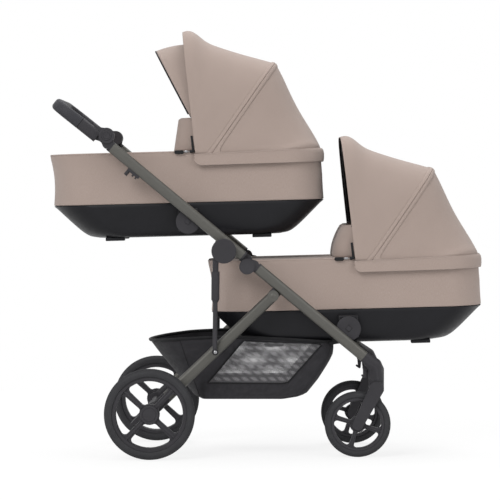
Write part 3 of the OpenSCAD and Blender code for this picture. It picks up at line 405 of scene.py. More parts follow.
def row_at(rows, share):
    """The row of a list that lies at a share of it."""
    return rows[round(share*(len(rows) - 1))]


def points_of(geom):
    """The vertices among what an operator gives back."""
    return [g for g in geom if isinstance(g, bmesh.types.BMVert)]


def edges_of(geom):
    """The edges among what an operator gives back."""
    return [g for g in geom if isinstance(g, bmesh.types.BMEdge)]


def pen(run, x, y, heading, legs):
    """A point a run along a line of legs: (length, radius), straight for radius 0, to the right below it."""
    for leg, radius in legs:
        step = min(run, leg)
        if radius:
            turn = heading + step/radius
            x += radius*(math.sin(turn) - math.sin(heading))
            y += radius*(math.cos(heading) - math.cos(turn))
            heading = turn
        else:
            x += step*math.cos(heading)
            y += step*math.sin(heading)
        run -= step
    return x, y


def run_of(legs):
    """The whole length of a line of legs."""
    return sum(leg for leg, radius in legs)


def cot_space(cot):
    """From a cot's own millimetres to the frame's metres."""
    x, z = COT_PLACES[cot]
    return MM @ Matrix.Translation((x, 0, z)) @ Matrix.Rotation(math.radians(-COT_TILT), 4, "Y")


def turned_space(place, degrees):
    """From a turned member's own millimetres to the frame's metres."""
    return MM @ Matrix.Translation((place[0], 0, place[1])) @ Matrix.Rotation(math.radians(degrees), 4, "Y")


def face_out(bm):
    """Turns the faces of a closed shape outwards."""
    bmesh.ops.recalc_face_normals(bm, faces=bm.faces)


def merge(bm, distance):
    """Merges points that lie within a distance."""
    bmesh.ops.remove_doubles(bm, verts=bm.verts, dist=distance)


def turn_round(bm, turn, axis="Y", centre=(0, 0, 0)):
    """Turns a shape about an axis."""
    bmesh.ops.rotate(bm, cent=centre, matrix=Matrix.Rotation(turn, 3, axis), verts=bm.verts)


def bevel(bm, geom, offset, segments, affect="EDGES"):
    """Rounds edges or corners of a shape."""
    bmesh.ops.bevel(bm, geom=geom, offset=offset, affect=affect, segments=segments, profile=0.5, material=-1)


def mesh_of(name, bm):
    """A mesh of a bmesh, which is freed."""
    mesh = bpy.data.meshes.new(name)
    bm.to_mesh(mesh)
    bm.free()
    return mesh


def mesh_as_seen(obj):
    """A mesh of an object with its modifiers or its bevel applied."""
    depsgraph = bpy.context.evaluated_depsgraph_get()
    return bpy.data.meshes.new_from_object(obj.evaluated_get(depsgraph))


def put(name, data):
    """A new object in the scene."""
    obj = bpy.data.objects.new(name, data)
    bpy.context.scene.collection.objects.link(obj)
    return obj


def piece(name, bm, space, material, body, smooth=40, closed=False):
    """Makes a finished object of a bmesh, puts it in its place and lets it ride on its body."""
    bmesh.ops.transform(bm, matrix=space, verts=bm.verts)
    if closed:
        face_out(bm)
    mesh = mesh_of(name, bm)
    obj = put(name, mesh)
    mesh.materials.append(finish(material))
    mesh.shade_smooth()
    mesh.set_sharp_from_angle(angle=math.radians(smooth))
    if body:
        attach(obj, body)
    return obj


def tag(obj, node=None):
    """Hides the node that a piece stands in for, when one is given."""
    if node:
        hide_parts(node)


def settle(obj):
    """Applies an object's modifiers to its mesh."""
    mesh = mesh_as_seen(obj)
    old, obj.data = obj.data, mesh
    mesh.name = obj.name
    obj.modifiers.clear()
    bpy.data.meshes.remove(old)


def thicken(obj, thickness, inside=None):
    """Gives a sheet its thickness, inwards from its outer face; inside names another finish for that face."""
    solid = obj.modifiers.new("thickness", "SOLIDIFY")
    solid.thickness = thickness
    solid.offset = -1
    solid.use_even_offset = False
    if inside:
        obj.data.materials.append(finish(inside))
        solid.material_offset = 1
    return obj


def round_edges(obj, width, segments=2, angle=35):
    """Rounds a piece's sharp edges."""
    edges = obj.modifiers.new("edges", "BEVEL")
    edges.width = width
    edges.segments = segments
    edges.limit_method = "ANGLE"
    edges.angle_limit = math.radians(angle)


def cut_away(obj, cutter):
    """Cuts one closed object out of another and removes the cutter."""
    cut = obj.modifiers.new("cut", "BOOLEAN")
    cut.operation = "DIFFERENCE"
    cut.solver = "EXACT"
    cut.object = cutter
    settle(obj)
    bpy.data.objects.remove(cutter)


def declare_cloth(obj, flat, *rests_on):
    """Sums the area of a sheet's faces; the sum is not used."""
    area = sum(p.area for p in obj.data.polygons)


def grid_sheet(columns, rows, place, cut, wrap=False):
    """A grid whose points lie where place(across, along) says. Its UV map holds the cut, in metres."""
    bm = bmesh.new()
    uv = bm.loops.layers.uv.new("cut")
    bmesh.ops.create_grid(bm, x_segments=columns, y_segments=rows, size=0.5)
    shares = {v: (v.co.x + 0.5, v.co.y + 0.5) for v in bm.verts}
    for face in bm.faces:
        for loop in face.loops:
            across, along = shares[loop.vert]
            loop[uv].uv = (across*cut[0], along*cut[1])
    for vert, (across, along) in shares.items():
        vert.co = place(across, along)
    if wrap:
        merge(bm, 0.01)
    return bm


def cube(size):
    """A box about its middle."""
    bm = bmesh.new()
    bmesh.ops.create_cube(bm, size=1)
    bmesh.ops.scale(bm, vec=size, verts=bm.verts)
    return bm


def block(size, place, rounding, segments=3):
    """A box with rounded edges, in millimetres, about its middle."""
    bm = cube(size)
    bevel(bm, bm.edges[:], rounding, segments)
    bmesh.ops.translate(bm, vec=place, verts=bm.verts)
    return bm


def pill(size, place, corner):
    """A flat moulding with round ends, in millimetres, about its middle."""
    bm = cube(size)
    bevel(bm, [e for e in bm.edges if abs(e.verts[0].co.y - e.verts[1].co.y) > 0.1], corner, 6)
    bmesh.ops.translate(bm, vec=place, verts=bm.verts)
    return bm


def prism(spots, y, depth):
    """A closed block with an outline of (x, z) spots, from a place on the Y axis on by a depth."""
    bm = bmesh.new()
    face = bm.faces.new([bm.verts.new((x, y, z)) for x, z in spots])
    grown = bmesh.ops.extrude_face_region(bm, geom=[face])["geom"]
    bmesh.ops.translate(bm, vec=(0, depth, 0), verts=points_of(grown))
    return bm


def turned_profile(points, steps):
    """A profile of (radius, height) points turned about the Y axis."""
    bm = bmesh.new()
    verts = [bm.verts.new((r, y, 0)) for r, y in points]
    edges = [bm.edges.new(pair) for pair in zip(verts, verts[1:])]
    bmesh.ops.spin(bm, geom=verts + edges, cent=(0, 0, 0), axis=(0, 1, 0), angle=math.tau, steps=steps,
                   use_merge=True)
    merge(bm, 0.001)
    face_out(bm)
    return bm


def joined(*shapes):
    """Several bmeshes as one."""
    whole = bmesh.new()
    for shape in shapes:
        part = mesh_of("part", shape)
        whole.from_mesh(part)
        bpy.data.meshes.remove(part)
    return whole


def piping(name, points, radius, space, material, body, loop=False):
    """A round cord or binding along points."""
    curve = bpy.data.curves.new(name, "CURVE")
    curve.dimensions = "3D"
    curve.bevel_depth = radius
    curve.bevel_resolution = 3
    curve.use_fill_caps = True
    line = curve.splines.new("POLY")
    line.points.add(len(points) - 1)
    for spot, point in zip(line.points, points):
        spot.co = (*(space @ Vector(point)), 1)
    line.use_cyclic_u = loop
    cord = put(name, curve)
    mesh = mesh_as_seen(cord)
    bpy.data.objects.remove(cord)
    bpy.data.curves.remove(curve)
    bm = bmesh.new()
    bm.from_mesh(mesh)
    bpy.data.meshes.remove(mesh)
    uv = bm.loops.layers.uv.new("cut")
    for face in bm.faces:
        for spot in face.loops:
            spot[uv].uv = (spot.vert.co.x + spot.vert.co.y, spot.vert.co.z)
    return piece(name, bm, Matrix.Identity(4), material, body)


def stitches(name, points, stitch, radius, space, material, body):
    """A row of stitches along points that lie one stitch apart."""
    rows = []
    for first, second in zip(points, points[1:]):
        first, second = Vector(first), Vector(second)
        run = (second - first).normalized()
        bm = bmesh.new()
        bmesh.ops.create_icosphere(bm, subdivisions=1, radius=radius)
        bmesh.ops.scale(bm, vec=(0.6*stitch/radius/2, 1, 1), verts=bm.verts)
        turn = run.to_track_quat("X", "Z").to_matrix().to_4x4()
        bmesh.ops.transform(bm, matrix=Matrix.Translation((first + second)/2) @ turn, verts=bm.verts)
        rows.append(bm)
    return piece(name, joined(*rows), space, material, body)


def walk(points, step):
    """Points a step apart along a line of points."""
    out, left = [Vector(points[0])], step
    for first, second in zip(points, points[1:]):
        first, second = Vector(first), Vector(second)
        run = (second - first).length
        at = left
        while at <= run:
            out.append(first.lerp(second, at/run))
            at += step
        left = at - run
    return out


def curve_through(points, steps):
    """A smooth line through points, with so many steps between neighbours."""
    points = [Vector(p) for p in points]
    ends = [2*points[0] - points[1]] + points + [2*points[-1] - points[-2]]
    out = []
    for a, b, c, d in zip(ends, ends[1:], ends[2:], ends[3:]):
        for i in range(steps):
            t = i/steps
            out.append(0.5*(2*b + (c - a)*t + (2*a - 5*b + 4*c - d)*t*t + (3*b - a - 3*c + d)*t**3))
    return out + [points[-1]]


def at_share(points, share):
    """The point at a share of a list, between its neighbours."""
    spot = unit(share)*(len(points) - 1)
    i = min(int(spot), len(points) - 2)
    return points[i].lerp(points[i + 1], spot - i)


def node_shape(node):
    """A copy of a node's mesh."""
    bm = bmesh.new()
    bm.from_mesh(frame["nodes"][node].data)
    merge(bm, 2e-6)
    return bm


def finished_node(node, material, rounding):
    """A copy of a rigid node with its edges rounded as a moulding's or a tube's are."""
    bm = node_shape(node)
    bmesh.ops.dissolve_limit(bm, angle_limit=math.radians(0.6), verts=bm.verts[:], edges=bm.edges[:])
    obj = piece(node + "_finish", bm, Matrix.Identity(4), material, NODE_BODY[node])
    round_edges(obj, rounding, angle=33)
    tag(obj, node)


def cot_piece(cot, name, bm, material, part="cot", closed=False):
    """A piece of a cot or of its hood, drawn in that cot's own millimetres."""
    return piece(f"{cot}_{name}", bm, cot_space(cot), material, f"{cot}_{part}", closed=closed)


def cot_cloth(cot, name, bm, cut, under, thickness, inside=None, part="cot", node=None):
    """A sheet of a cot's cloth, drawn over the piece under it."""
    sheet = cot_piece(cot, name, bm, "taupe_cloth", part)
    declare_cloth(sheet, cut, f"{cot}_{under}")
    tag(thicken(sheet, thickness, inside), node and f"{cot}_{node}")


# Wheels


def wheel_tyre(wheel, steps):
    """A tyre with a slightly flattened, blocked tread, turned about Y."""
    radius, seat, half = wheel.radius, wheel.seat, wheel.width/2
    wall = [(seat, 0.80*half), (seat + 3, 0.97*half), (radius - 0.55*half, half),
            (radius - 0.2*half, 0.74*half), (radius - 1.2, 0.36*half)]
    section = curve_through([(r, -y) for r, y in wall] + [(radius - 1, 0)] + wall[::-1], 3)
    bm = turned_profile(section, steps)
    tread = [f for f in bm.faces if abs(f.calc_center_median().y) < 0.62*half
             and Vector(f.calc_center_median().xz).length > radius - 0.3*half]
    bmesh.ops.inset_individual(bm, faces=tread, thickness=0.5, depth=0.8)
    return bm


def spoke_window(turn, wheel, half_w):
    """A closed cutter for the opening between two spokes, with rounded corners."""
    def corners(radius):
        half = (0.43 + 0.19*radius/wheel.seat)*wheel.spoke
        far = math.sqrt(radius*radius - half*half)
        return Vector((far, 0, half)), Vector((half, 0, far))

    bm = bmesh.new()
    firsts, lasts = [], []
    for radius, steps in ((wheel.ring - 2.5, 10), (wheel.hub + 6, 4)):
        first, last = corners(radius)
        firsts.append(bm.verts.new(first))
        arc = bmesh.ops.spin(bm, geom=firsts[-1:], cent=(0, 0, 0), axis=(0, -1, 0), angle=first.angle(last),
                             steps=steps)
        lasts += points_of(arc["geom_last"])
    bm.edges.new(firsts)
    bm.edges.new(lasts)
    bmesh.ops.contextual_create(bm, geom=bm.edges[:])
    for pair, offset, segments in zip(zip(firsts, lasts), (wheel.fillet, 0.4*wheel.fillet), (6, 4)):
        bevel(bm, list(pair), offset, segments, "VERTICES")
    bmesh.ops.translate(bm, vec=(0, -half_w, 0), verts=bm.verts)
    wall = bmesh.ops.extrude_face_region(bm, geom=bm.faces[:])["geom"]
    bmesh.ops.translate(bm, vec=(0, 2*half_w, 0), verts=points_of(wall))
    turn_round(bm, turn)
    face_out(bm)
    return bm


def spoke_turns(wheel):
    """The turns of a wheel's four spokes."""
    return [math.radians(wheel.turn + 90*quarter) for quarter in range(4)]


def spoked_rim(name, wheel, space, body, steps):
    """A moulded rim: a ring and a hub joined by four ridged spokes with filleted openings."""
    ring_half, hub_half, web_half = 0.38*wheel.width, 0.4*wheel.width, 0.25*wheel.width
    half = [(wheel.bore, hub_half), (wheel.hub, hub_half), (wheel.hub + 2, web_half),
            (wheel.ring - 3, web_half), (wheel.ring, ring_half), (wheel.seat - 0.3, ring_half)]
    bm = turned_profile([(r, -y) for r, y in half] + half[::-1] + [(wheel.bore, -hub_half)], steps)
    rim = piece(name, bm, space, "wheel_plastic", body, closed=True)
    for turn in spoke_turns(wheel):
        cutter = spoke_window(turn, wheel, ring_half + 5)
        cut_away(rim, piece(name + "_window", cutter, space, "wheel_plastic", None, closed=True))
    round_edges(rim, 0.0022, 3)
    return rim


def spoke_ridges(name, wheel, space, body):
    """The raised ridge on the outer face of each spoke."""
    shapes = []
    run = wheel.ring - wheel.hub + 6
    for turn in spoke_turns(wheel):
        bm = block((run, 4.4, 0.42*wheel.spoke), (wheel.hub + run/2 - 2, 0.25*wheel.width + 0.9, 0), 1.6)
        turn_round(bm, turn)
        shapes.append(bm)
    return piece(name, joined(*shapes), space, "wheel_plastic", body, closed=True)


def hub_cap(name, space, body, steps):
    """A plain domed cap with one shallow ring."""
    radius, foot, rise = 29.5, 17.7, 4
    bm = turned_profile([
        (0.2, foot), (radius, foot), (radius, foot + 0.5*rise), (radius - 1.2, foot + 0.9*rise),
        (radius - 4, foot + rise), (radius - 6, foot + rise), (radius - 7, foot + 0.72*rise),
        (radius - 8.4, foot + 0.72*rise), (radius - 9.4, foot + rise), (0.4*radius, foot + 1.08*rise),
        (0.2, foot + 1.1*rise)], steps)
    return piece(name, bm, space, "wheel_plastic", body, closed=True)


def side_space(place, side):
    """From a round piece's own millimetres, outer face towards +Y, to its place on one side."""
    x, y, z = place
    return MM @ Matrix.Translation((x, side*y, z)) @ Matrix.Diagonal((1, side, 1, 1))


class PRAM_OT_wheels(bpy.types.Operator):
    """Makes the tyres, spoked rims and hub caps of the four wheels"""
    bl_idname = "pram.wheels"
    bl_label = "Wheels"

    def execute(self, context):
        steps = context.scene.pram_sizes.spin
        for hand, side in SIDES.items():
            for end, wheel in WHEELS.items():
                space = side_space(wheel.axle, side)
                body = f"{end}_wheel_{hand}"
                tyre = piece(f"{end}_tyre_{hand}_rubber", wheel_tyre(wheel, steps*3//2), space, "tyre_rubber",
                             body, closed=True)
                tag(tyre, f"{end}_tyre_{hand}")
                rim = spoked_rim(f"{end}_rim_{hand}_moulding", wheel, space, body, steps)
                tag(rim, f"{end}_rim_{hand}")
                tag(spoke_ridges(f"{end}_rim_{hand}_ridges", wheel, space, body))
                if end == "rear":
                    tag(hub_cap(f"rear_cap_{hand}", space, body, steps))
        return {"FINISHED"}


# Frame

TUBE_ROUNDING = 0.0006
TUBE_NODES = ("front_tubes", "push_tubes", "rear_legs", "front_crossbar")
MOULDED_NODES = (
    "front_elbows", "hinge_sockets", "leg_brackets", "hinge_knuckles", "handle_hubs", "strut_discs",
    "lower_adapters", "upper_adapters", "accessory_clips", "leg_ends", "rear_axle", "brake_pedal",
    "fork_left", "fork_right", "swivel_lock_left", "swivel_lock_right", "strut_sleeves", "strut_rods",
    "upper_release_left", "upper_release_right", "lower_release_left", "lower_release_right", "handle_bar")
# Pieces with softer edges than the rest, as a factor
SOFT_EDGES = {"front_elbows": 2, "fork_left": 2, "fork_right": 2, "strut_discs": 1.5, "hinge_sockets": 1.5,
              "handle_hubs": 1.5, "lower_adapters": 1.2, "upper_adapters": 1.2}
# Where a hood's wires end above its pivot, and how far they are drawn in
WIRE_FOOT, WIRE_SCALE = 15, 0.985


def hood_wire(cot, wire):
    """A hood's hoop or bow, drawn in a little under the cloth, down to where the skirt hides it."""
    node = f"{cot}_hood_{wire}"
    space = cot_space(cot)
    bm = node_shape(node)
    bmesh.ops.bisect_plane(bm, geom=bm.verts[:] + bm.edges[:] + bm.faces[:], dist=1e-6, clear_inner=True,
                           plane_co=space @ Vector((0, 0, HOOD_W + WIRE_FOOT)),
                           plane_no=(space.to_3x3() @ Vector((0, 0, 1))).normalized())
    bmesh.ops.holes_fill(bm, edges=bm.edges[:], sides=0)
    pivot = space @ Vector((HOOD_X, 0, HOOD_W))
    bmesh.ops.scale(bm, vec=[WIRE_SCALE]*3, space=Matrix.Translation(-pivot), verts=bm.verts)
    obj = piece(node + "_finish", bm, Matrix.Identity(4), "moulded_plastic", NODE_BODY[node])
    tag(obj, node)


def leg_saddle_and_shade(hand, side):
    """The filler between a rear leg's round end and the tube above it, whose dark plastic is also painted
    shade under the tube, and the cover of the leg's pin.
    """
    space = turned_space(LEG_PLACE, LEG_TURN) @ Matrix.Diagonal((1, side, 1, 1))
    radius, inner, depth = 18.4, 239, 21.5
    turns = [math.radians(t) for t in range(90, 163, 6)]
    spots = [(radius*math.cos(a), -radius*math.sin(a)) for a in turns] + [(-17.8, -18.2)]
    filler = prism(spots, inner, depth)
    cover = turned_profile([(0.2, 261), (8.2, 261), (8.2, 262.3), (7.6, 262.7), (0.2, 262.9)], 40)
    # The filler fills the gap at the leg's end, and its dark plastic stands in for the shade under the tube.
    return (piece(f"leg_saddle_{hand}", filler, space, "moulded_plastic", "chassis", closed=True),
            piece(f"leg_pin_cover_{hand}", cover, space, "tube_paint", NODE_BODY["rear_legs"], closed=True))


def strut_screw(hand, side):
    """The screw that holds a strut's foot: a dark collar and a bare steel head."""
    space = side_space(STRUT_FOOT, side)
    body = NODE_BODY["strut_rods"]
    collar = turned_profile([(0.2, -1.5), (9.6, -1.5), (9.6, 1.0), (8.8, 1.6), (0.2, 1.6)], 40)
    head = turned_profile([(0.2, 0.5), (5.2, 0.5), (5.2, 2.2), (4.2, 2.9), (0.2, 3.2)], 32)
    return (piece(f"strut_foot_collar_{hand}", collar, space, "black_plastic", body, closed=True),
            piece(f"strut_foot_screw_{hand}", head, space, "steel", body, closed=True))


class PRAM_OT_chassis(bpy.types.Operator):
    """Finishes the tubes, hinges, brackets and other rigid pieces of the frame"""
    bl_idname = "pram.chassis"
    bl_label = "Frame"

    def execute(self, context):
        edge = context.scene.pram_sizes.edge
        for node in TUBE_NODES:
            finished_node(node, "tube_paint", TUBE_ROUNDING)
        for node in MOULDED_NODES:
            finished_node(node, "moulded_plastic", SOFT_EDGES.get(node, 1)*edge)
        for cot in COT_PLACES:
            for wire in ("hoop", "bow"):
                hood_wire(cot, wire)
        for hand, side in SIDES.items():
            for obj in leg_saddle_and_shade(hand, side) + strut_screw(hand, side):
                tag(obj)
        return {"FINISHED"}


# Handle


def grip_shape(seam, reach, bend, arm, high, deep):
    """Half of the U-shaped grip, from its seam round the bend to the middle, as an open tube."""
    bm = bmesh.new()
    ring = bmesh.ops.create_circle(bm, segments=28, radius=deep/2, cap_ends=False)["verts"]
    turn_round(bm, math.pi/2)
    for v in ring:
        v.co.z += math.copysign((high - deep)/2, v.co.z) if abs(v.co.z) > 1e-4 else 0
    bmesh.ops.translate(bm, vec=(seam, arm, 0), verts=ring)

    def run(loop, vec, cuts):
        for _ in range(cuts):
            grown = bmesh.ops.extrude_edge_only(bm, edges=loop)["geom"]
            bmesh.ops.translate(bm, vec=Vector(vec)/cuts, verts=points_of(grown))
            loop = edges_of(grown)
        return loop

    loop = run(bm.edges[:], (1.6, 0, 0), 1)
    bmesh.ops.scale(bm, vec=(1, 0.86, 0.9), space=Matrix.Translation((0, -arm, 0)), verts=ring)
    loop = run(loop, (reach - bend - seam - 1.6, 0, 0), 4)
    turned = bmesh.ops.spin(bm, geom=loop, cent=(reach - bend, arm - bend, 0), axis=(0, 0, -1),
                            angle=math.pi/2, steps=14)["geom_last"]
    run(edges_of(turned), (0, bend - arm, 0), 10)
    return bm


class PRAM_OT_handle(bpy.types.Operator):
    """Makes the stitched grip and the round buttons of the handle"""
    bl_idname = "pram.handle"
    bl_label = "Handle"

    def execute(self, context):
        sizes = context.scene.pram_sizes
        lift, wall = 21.5, 0.003
        space = turned_space(HUB_PLACE, HANDLE_TURN) @ Matrix.Translation((0, 0, lift))
        seam, reach, bend, arm, high, deep = 91, 189, 60, 236.7, 40, 26
        halves = []
        for side in (-1, 1):
            bm = grip_shape(seam, reach, bend, arm, high, deep)
            bmesh.ops.scale(bm, vec=(1, side, 1), verts=bm.verts)
            halves.append(bm)
        bm = joined(*halves)
        merge(bm, 0.01)
        face_out(bm)
        grip = piece("handle_grip_cover", bm, space, "grip_leatherette", "handle")
        tag(thicken(grip, wall), "handle_grip")
        turn = [math.radians(90*i/12) for i in range(13)]
        inside = deep/2 + 0.2
        round_by = bend - inside
        half_line = [(seam + 3, arm - inside, 0)] + [
            (reach - bend + round_by*math.sin(a), arm - bend + round_by*math.cos(a), 0) for a in turn]
        line = half_line + [(x, -y, z) for x, y, z in reversed(half_line)]
        stitch = mm(sizes.stitch)
        row = stitches("handle_grip_stitches", walk(line, stitch), stitch, 0.45, space, "black_plastic",
                       "handle")
        tag(row)
        foot, top = 262.5, 268.5
        profile = [(0.2, foot), (16, foot), (16, top - 0.9), (15.1, top), (12.5, top), (11.8, top - 0.8),
                   (10.9, top - 0.8), (10.2, top), (4, top - 0.5), (0.2, top - 0.6)]
        for hand, side in SIDES.items():
            body = f"handle_button_{hand}"
            place = side_space((HUB_PLACE[0], 0, HUB_PLACE[1]), side)
            button = piece(f"{body}_cap", turned_profile(profile, sizes.spin), place, "moulded_plastic", body,
                           closed=True)
            tag(button, body)
        return {"FINISHED"}


# Cots

# How the mattress swells: mesh size, pressure, steps and the most that a point may move
SWELL_MESH, SWELL_FORCE, SWELL_STEPS, SWELL_MOST = 0.009, 4, 20, 0.006
# A cot's feet, and its sockets with the slots for the adapters
FEET_SIZE, FEET_PLACES, FEET_OUT = (62, 34, 12), (-239, 235), 135.5
SOCKET_SIZE, SOCKET_OUT, SOCKET_UP = (64, 45.9, 72), 200.95, 6
SLOT_OUTLINE = [(-16, -31.5), (16, -31.5), (16, -18), (10, 19), (-10, 19), (-16, -18)]
SLOT_START, SLOT_DEPTH = 203, 25


def outline_point(share, x0, x1, half, r0, r1):
    """A point at a share of the way round a rounded rectangle, from the middle of its head end."""
    head, foot, side = (math.pi/2*r1, r1), (math.pi/2*r0, r0), (x1 - r1 - x0 - r0, 0)
    legs = [(half - r1, 0), head, side, foot, (2*(half - r0), 0), foot, side, head, (half - r1, 0)]
    return pen((share % 1.0)*run_of(legs), x1, 0, math.pi/2, legs)


def cot_ring(share, end, side, radius, lean=0.0):
    """A point of a cot's outline, drawn in at its ends and its sides; its head end leans out."""
    return outline_point(share, FOOT + end, HEAD - end + lean, HALF - side, radius, radius)


def cot_shell(cot):
    """The padded cloth side of a cot: a thick wall with a soft rim, slightly hollow at the foot."""
    section = curve_through([
        (12, 60.2), (8.6, 61.5), (7.8, 66), (8.2, 95), (7.4, 140), (4.4, 180), (1.2, 205), (0.3, 215.5),
        (0.8, 221.5), (5, 223.4), (10.4, 222), (12, 212), (13, 190), (18, 140), (20, 95), (20, 66),
        (18.5, 61.5), (12, 60.2)], 3)

    def place(across, along):
        p = at_share(section, along)
        up = unit((p.y - WAIST)/(RIM - WAIST))
        lean = HEAD_OUT*(1 - up) + WAIST_IN*(1 - max(0, 2*up - 1))
        x, y = cot_ring(across, p.x, p.x, CORNER - p.x, lean)
        hollow = math.sin(math.pi*up)
        ends = max(0.0, 1 - (x - FOOT)/60) if x < 0 else max(0.0, 1 - (HEAD - x)/60)
        x += 5*hollow*ends if x < 0 else 0
        y += math.copysign(1.6*hollow*(1 - ends), y) if abs(y) > HALF - 40 else 0
        return x, y, p.y
    bm = grid_sheet(160, len(section) - 1, place, (2.3, 0.36), wrap=True)
    shell = cot_piece(cot, "cot_side", bm, "taupe_cloth", closed=True)
    tag(shell, f"{cot}_cot_shell")


def cot_base(cot):
    """The moulded tray under a cot, with its feet and the sockets for the adapters."""
    drops = curve_through([(0, 0, 0), (0.53, 0.12, 0.67), (0.786, 0.47, 0.925), (1, 1, 1)], 7)
    rows = [(WELL_END, WELL_SIDE, -12.2)]
    rows += [(WAIST_IN + inset, WAIST_IN + inset, WAIST - drop)
             for inset, drop in ((7, 3), (6, 0.8), (1.4, 0.4), (0.2, 2))]
    rows += [(WAIST_IN + 140*p.x, WAIST_IN + 34*p.y, WAIST - 107*p.z) for p in drops[1:]]

    def place(across, along):
        end, side, w = row_at(rows, along)
        x, y = cot_ring(across, end, side, CORNER - WAIST_IN - (7 if along < 0.1 else 0), WAIST_IN + HEAD_OUT)
        return x, y, w
    tray = grid_sheet(160, len(rows) - 1, place, (2.2, 0.3), wrap=True)
    bmesh.ops.holes_fill(tray, edges=tray.edges[:], sides=0)
    feet = [block(FEET_SIZE, (u, side*FEET_OUT, FLOOR - 4), 2.5) for side in (-1, 1) for u in FEET_PLACES]
    base = cot_piece(cot, "cot_tray", joined(tray, *feet), "base_plastic", closed=True)
    tag(base, f"{cot}_cot_base")
    for hand, side in SIDES.items():
        solid = block(SOCKET_SIZE, (0, side*SOCKET_OUT, SOCKET_UP), 4)
        socket = cot_piece(cot, f"socket_{hand}", solid, "base_plastic", closed=True)
        cutter = prism(SLOT_OUTLINE, side*SLOT_START, side*SLOT_DEPTH)
        cut_away(socket, piece("slot", cutter, cot_space(cot), "base_plastic", None, closed=True))
        tag(socket)


def quilted(bm):
    """Swells a closed pad by cloth simulation, so its faces crown and its edges pull in."""
    pad = put("pad", mesh_of("pad", bm))
    remesh = pad.modifiers.new("remesh", "REMESH")
    remesh.mode = "VOXEL"
    remesh.voxel_size = SWELL_MESH
    settle(pad)
    still = [v.co.copy() for v in pad.data.vertices]
    swell = pad.modifiers.new("swell", "CLOTH")
    swell.settings.use_pressure = True
    swell.settings.uniform_pressure_force = SWELL_FORCE
    swell.settings.effector_weights.gravity = 0
    swell.point_cache.frame_end = SWELL_STEPS
    scene = bpy.context.scene
    for step in range(1, SWELL_STEPS + 1):
        scene.frame_set(step)
    settle(pad)
    scene.frame_set(1)
    for v, before in zip(pad.data.vertices, still):
        moved = v.co - before
        if moved.length > SWELL_MOST:
            v.co = before + moved*(SWELL_MOST/moved.length)
    out = bmesh.new()
    out.from_mesh(pad.data)
    bpy.data.objects.remove(pad)
    return out


def cot_mattress(cot, pad):
    """The mattress, from the swollen pad that both cots share."""
    mattress = piece(f"{cot}_mattress_pad", pad.copy(), cot_space(cot) @ MM.inverted(), "lining_cotton",
                     f"{cot}_cot", 60)
    soft = mattress.modifiers.new("soft", "SUBSURF")
    soft.levels = soft.render_levels = 1
    tag(mattress, f"{cot}_mattress")


def mattress_pad():
    """The mattress before it swells: a low block with the base's plan."""
    rows = [(14, -10), (8, -4), (6, 8), (8, 22), (16, 27)]

    def place(across, along):
        inset, w = row_at(rows, along)
        x, y = cot_ring(across, WELL_END + inset, WELL_SIDE + inset, 100 - inset, HEAD_OUT)
        return 0.001*x, 0.001*y, 0.001*w
    bm = grid_sheet(96, len(rows) - 1, place, (1, 1))
    merge(bm, 1e-5)
    bmesh.ops.holes_fill(bm, edges=bm.edges[:], sides=0)
    face_out(bm)
    return quilted(bm)


class PRAM_OT_cots(bpy.types.Operator):
    """Makes the padded sides, moulded bases and mattresses of the two cots"""
    bl_idname = "pram.cots"
    bl_label = "Cots"

    def execute(self, context):
        pad = mattress_pad()
        for cot in COT_PLACES:
            cot_shell(cot)
            cot_base(cot)
            cot_mattress(cot, pad)
        pad.free()
        return {"FINISHED"}


# Aprons

APRON_TOP, APRON_END, APRON_CLOTH = RIM + 2.5, 12, 0.0022
# Each collar's foot, its lean and how that bends, and its height
COLLARS = {"upper": (-42.6, 18, 1.0, 104.8), "lower": (-42.2, 36, 1.9, 102.5)}
COLLAR_CLOTH, COLLAR_HEM, PULL_ROUNDING = 0.003, 0.0017, 0.0013


def apron_sheet(cot, sizes):
    """The cover over a cot's foot end, sewn to the rim along its edge."""
    hem, crown = mm(sizes.hem), mm(sizes.crown)
    top = APRON_TOP
    rows = [(0.2, top - hem), (-0.2, top - 0.75*hem), (0.1, top - 0.4*hem), (1.2, top - 0.1*hem), (3.2, top),
            (14, top), (40, top + 0.5*crown), (90, top + 0.9*crown), (150, top + crown), (190, top + crown)]

    def place(across, along):
        inset, w = row_at(rows, along)
        x, y = outline_point(across, FOOT + inset, APRON_END - inset, HALF - inset, max(CORNER - inset, 6),
                             max(10 - inset, 4))
        return x, y, w
    bm = grid_sheet(160, len(rows) - 1, place, (1.6, 0.25), wrap=True)
    gap = [e for e in bm.edges if e.is_boundary and e.verts[0].co.z > top + 0.5*crown]
    bmesh.ops.holes_fill(bm, edges=gap, sides=0)
    face_out(bm)
    if sum(f.normal.z for f in bm.faces) < 0:
        bmesh.ops.reverse_faces(bm, faces=bm.faces)
    cot_cloth(cot, "apron_cover", bm, (0.42, 0.48), "cot_side", APRON_CLOTH, "lining_cotton", node="apron")


def corner_lift(edge, corner):
    """How much a rounded corner takes off a sheet's height so far from its edge."""
    return corner - math.sqrt(max(corner**2 - (corner - edge)**2, 0)) if edge < corner else 0


